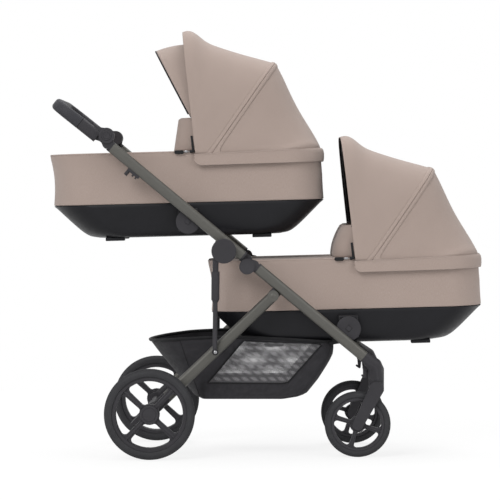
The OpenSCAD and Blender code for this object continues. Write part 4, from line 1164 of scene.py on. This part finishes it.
def collar_sheet(cot):
    """The wind collar that stands on the apron, bent round its corners."""
    half, wing, radius, corner, roll, steps = 184, 78, 60, 26, 6, 90
    foot, lean, bend, high = COLLARS[cot]
    arc = (math.pi/2*radius, -radius)
    legs = [(wing - radius, 0), arc, (2*(half - radius), 0), arc, (wing - radius, 0)]
    total = run_of(legs)

    def place(across, along):
        run = across*total
        x, y = pen(run, wing, -half, math.pi, legs)
        short = corner_lift(min(run, total - run), corner)
        share = 1 - (1 - along)**1.5
        tip = max(0, 1 - (1 - share)*high/roll)
        rounded = roll*(1 - math.sqrt(1 - tip*tip))*max(0, 1 - x/30)
        return foot + x + lean*share**bend + rounded, y, RIM + 2.7 + share*(high - short)
    cut = (0.001*total, 0.001*high)
    bm = grid_sheet(steps, 18, place, cut)
    bmesh.ops.reverse_faces(bm, faces=bm.faces)
    cot_cloth(cot, "collar_flap", bm, cut, "apron_cover", COLLAR_CLOTH)
    edge = [Vector(place(i/steps, 1.0)) + Vector((1.2, 0, 0)) for i in range(steps + 1)]
    hem = piping(f"{cot}_collar_hem", edge, COLLAR_HEM, cot_space(cot), "taupe_cloth", f"{cot}_cot")
    tag(hem)


class PRAM_OT_aprons(bpy.types.Operator):
    """Makes the aprons with their collars and zips"""
    bl_idname = "pram.aprons"
    bl_label = "Aprons"

    def execute(self, context):
        sizes = context.scene.pram_sizes
        for cot in COT_PLACES:
            apron_sheet(cot, sizes)
            collar_sheet(cot)
            for hand, side in SIDES.items():
                self.zip_fastener(cot, hand, side, mm(sizes.pull))
        return {"FINISHED"}

    def zip_fastener(self, cot, hand, side, pull):
        """A zip along the rim by the collar, with its slider, its pull and the black fitting behind it."""
        y, w = side*205.2, RIM + 0.7
        teeth = joined(*(block((1.2, 1.6, 4.2), (u, y, w), 0.3, 1) for u in range(-16, 15, 2)))
        slider = joined(block((9, 4.4, 7), (-1, y + side*0.8, w), 1.2, 2),
                        block((5, 2.4, 3), (-6, y + side*1.8, w), 0.8, 2))
        handle = pill((pull, 4, 12), (-8 - pull/2, y + side*2, w - 1.6), 5.4)
        stay = joined(block((7.5, 4.6, 54), (20, side*204.4, RIM + 24), 1.8),
                      block((14, 5, 9), (15, side*204.6, RIM + 1), 1.8))
        turn_round(stay, math.radians(-5), centre=(20, 0, RIM + 24))
        chain = cot_piece(cot, f"zip_teeth_{hand}", teeth, "steel")
        runner = cot_piece(cot, f"zip_slider_{hand}", slider, "steel")
        grip = cot_piece(cot, f"zip_pull_{hand}", handle, "black_plastic", closed=True)
        round_edges(grip, PULL_ROUNDING)
        fitting = cot_piece(cot, f"hood_stay_{hand}", stay, "black_plastic")
        for obj in (chain, runner, grip, fitting):
            tag(obj)


# Hoods


def hood_reach(a, seam):
    """How far the hood's crown stands from its pivot at an angle, with the sag between its hoops."""
    if a < seam:
        share = max(a - REAR_A, 0)/(seam - REAR_A)
        return REAR_REACH + (HOOP_REACH - REAR_REACH)*share - REAR_SAG*math.sin(math.pi*share)
    share = max(a - seam, 0)/(FRONT_A - seam)
    roll = HOOD_ROLL*math.exp(-((a - ROLL_A)/ROLL_WIDE)**2)
    return HOOP_REACH + (BOW_REACH - HOOP_REACH)*share - FRONT_SAG*math.sin(math.pi*min(share, 1)**0.9) + roll


def skirt_fall(x):
    """How much lower the skirt's top edge lies at a place than at the head end."""
    return SKIRT_FALL*unit((SKIRT_HEAD - x)/(SKIRT_HEAD - SKIRT_START))


def hood_low(a):
    """How far the lower edge of the cloth stands from the pivot at an angle: it ends within the skirt."""
    a = math.radians(a)
    rise = HOOD_LIFT
    for _ in range(3):
        rise = HOOD_LIFT - 1.2*skirt_fall(HOOD_X + rise/math.tan(a))
    return rise/math.sin(a)


def seam_angle(turn):
    """The angle of the seam between the two panels, which runs straight a little off the pivot."""
    a = HOOP_A
    for _ in range(12):
        low = hood_low(a)
        r = low + (HOOP_REACH - low)*max(math.sin(turn), 0)**HOOD_ARCH[1]
        a = (a + SEAM_A - math.degrees(math.asin(min(SEAM_OFF/r, 1))))/2
    return a


def arch_angles(half, rise, side_share, top_share, count, fine=2000):
    """Turns along an arch that lie about evenly on it."""
    turns = [math.pi*i/fine for i in range(fine + 1)]
    spots = [(half*math.copysign(abs(math.cos(t))**side_share, math.cos(t)), rise*math.sin(t)**top_share)
             for t in turns]
    runs = [0.0]
    for p, q in zip(spots, spots[1:]):
        runs.append(runs[-1] + math.dist(p, q))
    out, i = [0.0], 0
    for k in range(1, count):
        goal = runs[-1]*k/count
        while runs[i + 1] < goal:
            i += 1
        out.append(turns[i] + (turns[i + 1] - turns[i])*(goal - runs[i])/(runs[i + 1] - runs[i]))
    return out + [math.pi]


def arch_point(turn, a, half, low, reach, pivot, side_share, top_share):
    """A point on an arch at an angle about a pivot."""
    c = math.cos(turn)
    y = -half*math.copysign(abs(c)**side_share, c) if abs(c) > 1e-9 else 0.0
    r = low + (reach - low)*max(math.sin(turn), 0)**top_share
    a = math.radians(a)
    return pivot[0] + r*math.cos(a), y, pivot[1] + r*math.sin(a)


def hood_point(turn, a, proud=0.0):
    """A point on the outer face of the hood cloth."""
    low = hood_low(a)
    reach = hood_reach(a, seam_angle(turn)) + proud
    return arch_point(turn, a, HOOD_HALF + proud, low, reach, (HOOD_X, HOOD_W), *HOOD_ARCH)


HOOD_STEPS = 72
HOOD_TURNS = arch_angles(HOOD_HALF, 360, *HOOD_ARCH, HOOD_STEPS)
HOOD_CUTS = {"rear": (0.95, 0.36), "front": (0.95, 0.32)}
BAND_CLOTH, SKIRT_CLOTH, VISOR_CLOTH = 0.0008, 0.0024, 0.0025
# How far each visor is open, the trim of its free edge's angle, and how far that edge is drawn forth
VISORS = {"upper": (VISOR_OPEN, -2.1, Vector((-8.7, 0, -4.3))), "lower": (0, -1.5, Vector())}


def fan_share(obj, cot, end):
    """Works out each point of hood cloth's share of the way between its hoops, by its angle about the pivot;
    the shares are not kept.
    """
    back = cot_space(cot).inverted()
    for v in obj.data.vertices:
        p = back @ v.co
        a = math.degrees(math.atan2(p.z - HOOD_W, p.x - HOOD_X))
        seam = seam_angle(math.acos(min((p.y/HOOD_HALF)**2, 1.0)))
        first, last = (REAR_A, seam) if end == "rear" else (seam, BOW_A)
        unit((a - first)/(last - first))


def hood_rear(cot, sizes):
    """The rear panel of a hood, from the skirt up to the middle hoop."""
    tuck, rows = 4, 34

    def skirt_edge(y):
        """How far the skirt's top edge reaches towards the head."""
        radius = CORNER + HOOD_HALF - HALF
        over = max(abs(y) - (HOOD_HALF - radius), 0)
        return HEAD + 3 - radius + math.sqrt(max(radius**2 - over**2, 0))

    def place(across, along):
        turn = row_at(HOOD_TURNS, across)
        row = along*rows
        up = max(row - tuck, 0)/(rows - tuck)
        x, y, w = hood_point(turn, REAR_A + (seam_angle(turn) - REAR_A)*up)
        edge = max(skirt_edge(y), HOOD_X + HOOD_LIFT)
        if row < tuck:
            share = 1 - row/tuck
            return min(x + (edge - x)*share, edge), y, w + (HOOD_W + HOOD_LIFT - 7 - w)*share
        return min(x, edge) if up < 0.5 else x, y, w
    bm = grid_sheet(HOOD_STEPS, rows, place, HOOD_CUTS["rear"])
    hood_panel(cot, "rear", bm, sizes, (REAR_A, HOOP_A))


def hood_front(cot, sizes):
    """The front panel of a hood, from the middle hoop to the rolled front edge."""
    def place(across, along):
        turn = row_at(HOOD_TURNS, across)
        seam = seam_angle(turn)
        return hood_point(turn, seam + (FRONT_A - seam)*(1 - (1 - along)**1.35))
    bm = grid_sheet(HOOD_STEPS, 44, place, HOOD_CUTS["front"])
    hood_panel(cot, "front", bm, sizes, (HOOP_A, BOW_A))


def hood_panel(cot, end, bm, sizes, angles):
    """Finishes one panel of hood cloth and gives it its thickness and inner face."""
    panel = piece(f"{cot}_hood_{end}_cloth", bm, cot_space(cot), "taupe_cloth", None)
    declare_cloth(panel, HOOD_CUTS[end], f"{cot}_hood_hoop_finish")
    first, last = (cot_space(cot) @ Vector(hood_point(math.pi/2, a)) for a in angles)
    tuple(first)
    tuple(last)
    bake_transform(panel)
    fan_share(panel, cot, end)
    tag(thicken(panel, sizes.cloth, "black_trim"), f"{cot}_hood_{end}")


def hood_band(cot, sizes):
    """The band sewn over the seam, with two soft ridges and a groove between them."""
    half = mm(sizes.band)/2
    ridge = [(0.08, 1.2), (0.18, 2.7), (0.5, 3.0), (0.84, 2.9), (0.96, 2.2), (1.0, -0.8)]
    rows = [(-step, rise) for step, rise in reversed(ridge)] + [(0.0, -0.7)] + ridge

    def place(across, along):
        step, rise = row_at(rows, along)
        turn = row_at(HOOD_TURNS, across)
        seam = seam_angle(turn)
        x, y, w = hood_point(turn, seam)
        r = math.hypot(x - HOOD_X, w - HOOD_W)
        slant = math.cos(math.radians(SEAM_A - seam))
        return hood_point(turn, seam + math.degrees(math.atan2(half*step/slant, r)), rise)
    cut = (0.95, 0.001*2*half)
    bm = grid_sheet(HOOD_STEPS, len(rows) - 1, place, cut)
    cot_cloth(cot, "hood_band", bm, cut, "hood_rear_cloth", BAND_CLOTH, part="hood_hoop")


def skirt_sheet(cot):
    """The proud band of cloth round the head end that the hood is sewn to."""
    half, radius = SKIRT_HALF, CORNER + SKIRT_HALF - HALF
    start, head, slant, corner = SKIRT_START, SKIRT_HEAD, 5, 20
    low, high = HOOD_W + HOOD_LIFT - 42, HOOD_W + HOOD_LIFT + 1.5
    side, arc = (head - radius - start, 0), (math.pi/2*radius, radius)
    legs = [side, arc, (2*(half - radius), 0), arc, side]
    total = run_of(legs)
    runs = [0, 1.2, 3, 5.5, 9, 14, 20] + [20 + (total/2 - 20)*i/44 for i in range(1, 45)]
    runs += [total - r for r in reversed(runs[:-1])]
    # Each row's share of the height, and how far it swells at the sides and at the head
    rows = [(0, -0.9, -1.6), (0.03, -0.2, -0.8), (0.1, 0, 0), (0.3, 0.2, 1.2), (0.6, 0.2, 1.4),
            (0.85, 0, -0.6), (0.97, -0.7, -4), (1, -1.6, -6)]

    def place(across, along):
        run = row_at(runs, across)
        height, side_swell, head_swell = row_at(rows, along)
        x, y = pen(run, start, -half, 0, legs)
        edge = min(run, total - run)
        lift = corner_lift(edge, corner)
        fall = skirt_fall(x)
        w = low + lift - 0.2*fall + (high - low - lift - 0.8*fall)*height
        round_end = unit((x - (head - radius))/radius)
        x += head_swell*round_end + slant*(1 - (w - low)/(high - low))*max(0, 1 - edge/60)
        return x, y + math.copysign(side_swell, y)*(1 - round_end), w
    cut = (0.001*total, 0.043)
    bm = grid_sheet(len(runs) - 1, len(rows) - 1, place, cut)
    cot_cloth(cot, "hood_skirt_band", bm, cut, "cot_side", SKIRT_CLOTH, node="hood_skirt")


def visor_sheet(cot, sizes):
    """The sun visor: a small curved sheet with a black binding along its free edge."""
    opened, trim, forth = VISORS[cot]
    steps, cut = 60, (0.75, 0.09)
    turns = arch_angles(VISOR_HALF, VISOR_REACH, *VISOR_ARCH, steps)

    def place(across, along):
        a = VISOR_A + opened - VISOR_OPEN*(1 - along) + trim*along
        spot = arch_point(row_at(turns, across), a, VISOR_HALF, VISOR_LOW, VISOR_REACH + along*VISOR_FLARE,
                          VISOR_PLACE, *VISOR_ARCH)
        return Vector(spot) + along*forth
    bm = grid_sheet(steps, 14, place, cut)
    cot_cloth(cot, "visor_cloth", bm, cut, "hood_bow_finish", VISOR_CLOTH, "black_trim", "visor", "visor")
    edge = [place(i/steps, 1.0) + Vector((0, 0, -1.5)) for i in range(1, steps)]
    binding = piping(f"{cot}_visor_binding", edge, 1.1*sizes.piping, cot_space(cot), "black_trim",
                     f"{cot}_visor")
    tag(binding)


class PRAM_OT_hoods(bpy.types.Operator):
    """Makes the hoods: their two panels, seam band, skirt, visor and rear tab"""
    bl_idname = "pram.hoods"
    bl_label = "Hoods"

    def execute(self, context):
        sizes = context.scene.pram_sizes
        for cot in COT_PLACES:
            hood_rear(cot, sizes)
            hood_front(cot, sizes)
            hood_band(cot, sizes)
            skirt_sheet(cot)
            visor_sheet(cot, sizes)
            tab = block((4, 14, 17), (416, 0, 256), 1.4)
            tag(cot_piece(cot, "hood_tab", tab, "black_plastic"))
        return {"FINISHED"}


# Basket

# The basket's profiles: how far its rear and its front reach at a height, and its rim's height along it
BAG_REAR = [(186, -222), (192, -240), (253, -292), (307, -337), (368, -384), (390, -400)]
BAG_FRONT = [(186, 66), (193, 109), (204, 130), (247, 165), (294, 195), (324, 212), (354, 216), (390, 208)]
BAG_RIM = [(-384, 366), (-330, 372), (-250, 380), (-150, 385), (-60, 384), (60, 378), (150, 372), (216, 368)]
BAG_FLOOR, BAG_RISE, BAG_HALF, BAG_TAPER = 186, 188, 192, -195
BAG_BULGE, BAG_BULGE_END = 5, 180
BAG_CORNER = (30, 40)
# Its cloth's thickness, and the radii of its nets' tapes, its tabs, its seams and its rim, in metres
BAG_CLOTH, NET_TAPE, BAG_TAB, BAG_SEAM, BAG_EDGE = 0.0022, 0.0022, 0.0055, 0.0011, 0.005
TAB_LINES = {"front_tab": [(205, 186, 364), (224, 212, 369.5), (240, 236.8, 373)],
             "rear_tab": [(-154, 194, 366), (-154, 215, 357), (-154, 236.8, 354)]}
NET_OUTLINE = [(-189, 237), (66, 236), (180, 364), (-75, 373)]
NET_SIDES = list(zip(NET_OUTLINE, NET_OUTLINE[1:] + NET_OUTLINE[:1]))


def between(table, at):
    """The value that a table of points gives at a place, on straight lines."""
    for (x0, v0), (x1, v1) in zip(table, table[1:]):
        if at <= x1:
            return v0 + (v1 - v0)*max(at - x0, 0)/(x1 - x0)
    return table[-1][1]


def bag_bulge(x, z):
    """How far a side of the basket bows out."""
    along = unit((x - BAG_TAPER)/(BAG_BULGE_END - BAG_TAPER))
    up = unit((z - BAG_FLOOR)/(between(BAG_RIM, x) - BAG_FLOOR))
    return BAG_BULGE*math.sin(math.pi*along)*math.sin(math.pi*up)


def bag_plan(kind, t, z):
    """A point of the basket's plan at a height: a round rear, bowed sides, and a front with round corners."""
    rear, front = between(BAG_REAR, z), between(BAG_FRONT, z)
    turn = math.pi/2*t
    if kind == "rear":
        return rear + (BAG_TAPER - rear)*(1 - math.cos(turn)), BAG_HALF*math.sin(turn)
    if kind == "side":
        x = BAG_TAPER + (front - BAG_CORNER[0] - BAG_TAPER)*t
        return x, BAG_HALF + bag_bulge(x, z)
    if kind == "corner":
        return front - BAG_CORNER[0]*(1 - math.sin(turn)), BAG_HALF - BAG_CORNER[1]*(1 - math.cos(turn))
    return front, (BAG_HALF - BAG_CORNER[1])*(1 - t)


def bag_columns():
    """Places round the basket, from the rear along one side to the front and back along the other."""
    half = [("rear", i/14) for i in range(14)] + [("side", i/48) for i in range(48)]
    half += [("corner", i/8) for i in range(8)] + [("front", i/6) for i in range(7)]
    return [(kind, t, -1) for kind, t in half] + [(kind, t, 1) for kind, t in reversed(half[:-1])]


def bag_point(column, share):
    """A point on the basket's wall, at a share of the height up to its rim."""
    kind, t, side = column
    x, y = bag_plan(kind, t, BAG_FLOOR + BAG_RISE*share)
    z = BAG_FLOOR + (between(BAG_RIM, x) - BAG_FLOOR)*share
    x, y = bag_plan(kind, t, z)
    return x, side*y, z


def bag_shell():
    """The basket's cloth in one piece, with a sagging floor and the openings for its nets."""
    columns = bag_columns()
    shares = [0, 0.01, 0.03, 0.06, 0.1, 0.16, 0.24, 0.34, 0.45, 0.56, 0.67, 0.78, 0.88, 0.95, 1]
    floors = [0.03, 0.35, 0.7, 0.9, 0.97]
    rows = len(floors) + len(shares)
    middle = (BAG_REAR[0][1] + BAG_FRONT[0][1])/2

    def place(across, along):
        column = row_at(columns, across)
        row = round(along*(rows - 1))
        if row >= len(floors):
            return bag_point(column, shares[row - len(floors)])
        x, y, z = bag_point(column, 0)
        f = floors[row]
        return middle + (x - middle)*f, y*f, z - 4*(1 - f*f)
    bm = grid_sheet(len(columns) - 1, rows - 1, place, (1.75, 0.42), wrap=True)
    gap = [e for e in bm.edges if e.is_boundary and e.verts[0].co.z < BAG_FLOOR]
    bmesh.ops.holes_fill(bm, edges=gap, sides=0)
    cut_along_net(bm, False)
    bmesh.ops.delete(bm, geom=[f for f in bm.faces if in_net(f.calc_center_median())], context="FACES")
    face_out(bm)
    return bm


def cut_along_net(bm, clear):
    """Cuts a mesh along the net's outline; clear says whether what lies outside it goes."""
    for (x0, z0), (x1, z1) in NET_SIDES:
        bmesh.ops.bisect_plane(bm, geom=bm.verts[:] + bm.edges[:] + bm.faces[:], plane_co=(x0, 0, z0),
                               plane_no=(z1 - z0, 0, x0 - x1), dist=0.01, clear_outer=clear)


def in_net(p):
    """Tells whether a point of a side lies within the net's outline."""
    return abs(p.y) > BAG_HALF - 2 and all(
        (x1 - x0)*(p.z - z0) >= (z1 - z0)*(p.x - x0) for (x0, z0), (x1, z1) in NET_SIDES)


def net_sheet(side, pitch):
    """A diamond lattice cut to the net's outline and bowed out like the side."""
    reach = 420
    count = int(reach/pitch*math.sqrt(2)/2)*2
    bm = bmesh.new()
    bmesh.ops.create_grid(bm, x_segments=count, y_segments=count, size=reach/2)
    turn_round(bm, math.pi/4, "Z")
    turn_round(bm, math.pi/2, "X")
    bmesh.ops.scale(bm, vec=(1.25, 1, 0.8), verts=bm.verts)
    bmesh.ops.translate(bm, vec=(-5, 0, 304), verts=bm.verts)
    cut_along_net(bm, True)
    for v in bm.verts:
        v.co.y = side*(BAG_HALF - 0.8 + bag_bulge(v.co.x, v.co.z))
    return bm


class PRAM_OT_basket(bpy.types.Operator):
    """Makes the basket: its bag, nets, seams, bindings and hanging tabs"""
    bl_idname = "pram.basket"
    bl_label = "Basket"

    def execute(self, context):
        sizes = context.scene.pram_sizes
        bag = piece("basket_bag", bag_shell(), MM, "basket_cloth", "chassis")
        declare_cloth(bag, (0.62, 0.72), "front_tubes_finish", "rear_legs_finish")
        thicken(bag, BAG_CLOTH).modifiers["thickness"].offset = 0
        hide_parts("basket_tray")
        made, nets = [bag], []

        def bind(name, points, radius, loop=False):
            made.append(piping(f"basket_{name}", points, radius, MM, "black_trim", "chassis", loop))

        for hand, side in SIDES.items():
            lattice = net_sheet(side, mm(sizes.net_pitch))
            net = piece(f"basket_net_{hand}", lattice, MM, "net_thread", "chassis")
            wire = net.modifiers.new("thread", "WIREFRAME")
            wire.thickness = sizes.thread
            wire.use_even_offset = False
            settle(net)
            nets.append(net)
            made.append(net)
            edge = [(p.x, side*(BAG_HALF + 1.5 + bag_bulge(p.x, p.z)), p.z)
                    for p in walk([(x, 0, z) for x, z in NET_OUTLINE + NET_OUTLINE[:1]], 20)]
            bind(f"net_tape_{hand}", edge, NET_TAPE, loop=True)
            for name, line in TAB_LINES.items():
                bind(f"{name}_{hand}", [(x, side*y, z) for x, y, z in line], BAG_TAB)
            seam = [bag_point(("rear", 0.714, side), i/24) for i in range(1, 25)]
            bind(f"seam_{hand}", [(x - 0.8, y + side*1.2, z) for x, y, z in seam], BAG_SEAM)
        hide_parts("basket_mesh")
        bind("rim", [bag_point(column, 1.0) for column in bag_columns()[:-1]], BAG_EDGE, loop=True)
        for obj in made:
            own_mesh(obj)
        return {"FINISHED"}


# Stage


class PRAM_OT_stage(bpy.types.Operator):
    """Makes the floor, the light and the camera"""
    bl_idname = "pram.stage"
    bl_label = "Stage"

    def execute(self, context):
        scene = context.scene
        scene.view_settings.view_transform = "Standard"
        self.world(scene)
        bm = bmesh.new()
        bmesh.ops.create_grid(bm, x_segments=1, y_segments=1, size=FLOOR_REACH)
        floor = put("floor", mesh_of("floor", bm))
        floor.data.materials.append(self.pale_floor())
        for name, (place, size, power) in LIGHTS.items():
            light = bpy.data.lights.new(name, "AREA")
            light.shape = "SQUARE"
            light.size = size
            light.energy = power
            lamp = put(name, light)
            lamp.location = place
            lamp.rotation_euler = (LIT_PLACE - Vector(place)).to_track_quat("-Z", "Y").to_euler()
        lens = bpy.data.cameras.new("camera")
        lens.lens = LENS
        lens.sensor_width = SENSOR
        camera = put("camera", lens)
        camera.location = CAMERA_PLACE
        camera.rotation_euler = [math.radians(turn) for turn in CAMERA_TURN]
        scene.camera = camera
        return {"FINISHED"}

    def seen_share(self, tree):
        """1 where the camera, a gloss or a glass looks at the stage itself."""
        path = add_node(tree, "ShaderNodeLightPath").outputs
        share = path["Is Camera Ray"]
        for name in ("Is Glossy Ray", "Is Transmission Ray"):
            either = add_node(tree, "ShaderNodeMath", {0: share, 1: path[name]}, operation="MAXIMUM")
            share = either.outputs[0]
        return share

    def world(self, scene):
        """A surround that lights dimly and is seen as white."""
        scene.world = bpy.data.worlds.new("studio")
        scene.world.use_nodes = True
        tree = scene.world.node_tree
        light = tree.nodes["Background"]
        feed(tree, light.inputs["Color"], WHITE)
        feed(tree, light.inputs["Strength"], WORLD_LIGHT)
        seen = add_node(tree, "ShaderNodeBackground", {"Color": WHITE, "Strength": 1.0})
        self.blend(tree, "World Output", self.seen_share(tree), light, seen)

    def pale_floor(self):
        """A pale finish that takes shadows and glows where it is seen."""
        material = bpy.data.materials.new("pale_floor")
        material.use_nodes = True
        tree = material.node_tree
        body = tree.nodes["Principled BSDF"]
        feed(tree, body.inputs["Base Color"], PALE)
        feed(tree, body.inputs["Roughness"], FLOOR_ROUGH)
        glow = add_node(tree, "ShaderNodeEmission", {"Strength": FLOOR_GLOW})
        share = add_node(tree, "ShaderNodeMath", {0: self.seen_share(tree), 1: FLOOR_GLOW_SHARE},
                         operation="MULTIPLY")
        self.blend(tree, "Material Output", share.outputs[0], body, glow)
        return material

    def blend(self, tree, output, share, first, second):
        """Mixes two shaders by a share and feeds the tree's output."""
        mix = add_node(tree, "ShaderNodeMixShader", {0: share, 1: first.outputs[0], 2: second.outputs[0]})
        feed(tree, tree.nodes[output].inputs["Surface"], mix.outputs[0])


# Add-on

STEPS = (PRAM_OT_stage, PRAM_OT_chassis, PRAM_OT_wheels, PRAM_OT_handle, PRAM_OT_cots, PRAM_OT_aprons,
         PRAM_OT_hoods, PRAM_OT_basket)


class PRAM_PT_panel(bpy.types.Panel):
    """Lists the pram's sizes, colours and steps"""
    bl_idname = "PRAM_PT_panel"
    bl_label = "Pram"
    bl_space_type = "VIEW_3D"
    bl_region_type = "UI"
    bl_category = "Pram"

    def draw(self, context):
        for group in (context.scene.pram_sizes, context.scene.pram_colours):
            box = self.layout.box()
            for name in group.__annotations__:
                box.prop(group, name)
        for step in STEPS:
            self.layout.operator(step.bl_idname)


CLASSES = (PramColours, PramSizes) + STEPS + (PRAM_PT_panel,)


def register():
    for cls in CLASSES:
        bpy.utils.register_class(cls)
    bpy.types.Scene.pram_colours = PointerProperty(type=PramColours)
    bpy.types.Scene.pram_sizes = PointerProperty(type=PramSizes)


def unregister():
    del bpy.types.Scene.pram_sizes
    del bpy.types.Scene.pram_colours
    for cls in reversed(CLASSES):
        bpy.utils.unregister_class(cls)


def main():
    register()
    bpy.ops.pram.stage()
    bpy.ops.pram.chassis()
    bpy.ops.pram.wheels()
    bpy.ops.pram.handle()
    bpy.ops.pram.cots()
    bpy.ops.pram.aprons()
    bpy.ops.pram.hoods()
    bpy.ops.pram.basket()


if __name__ == "__main__":
    main()
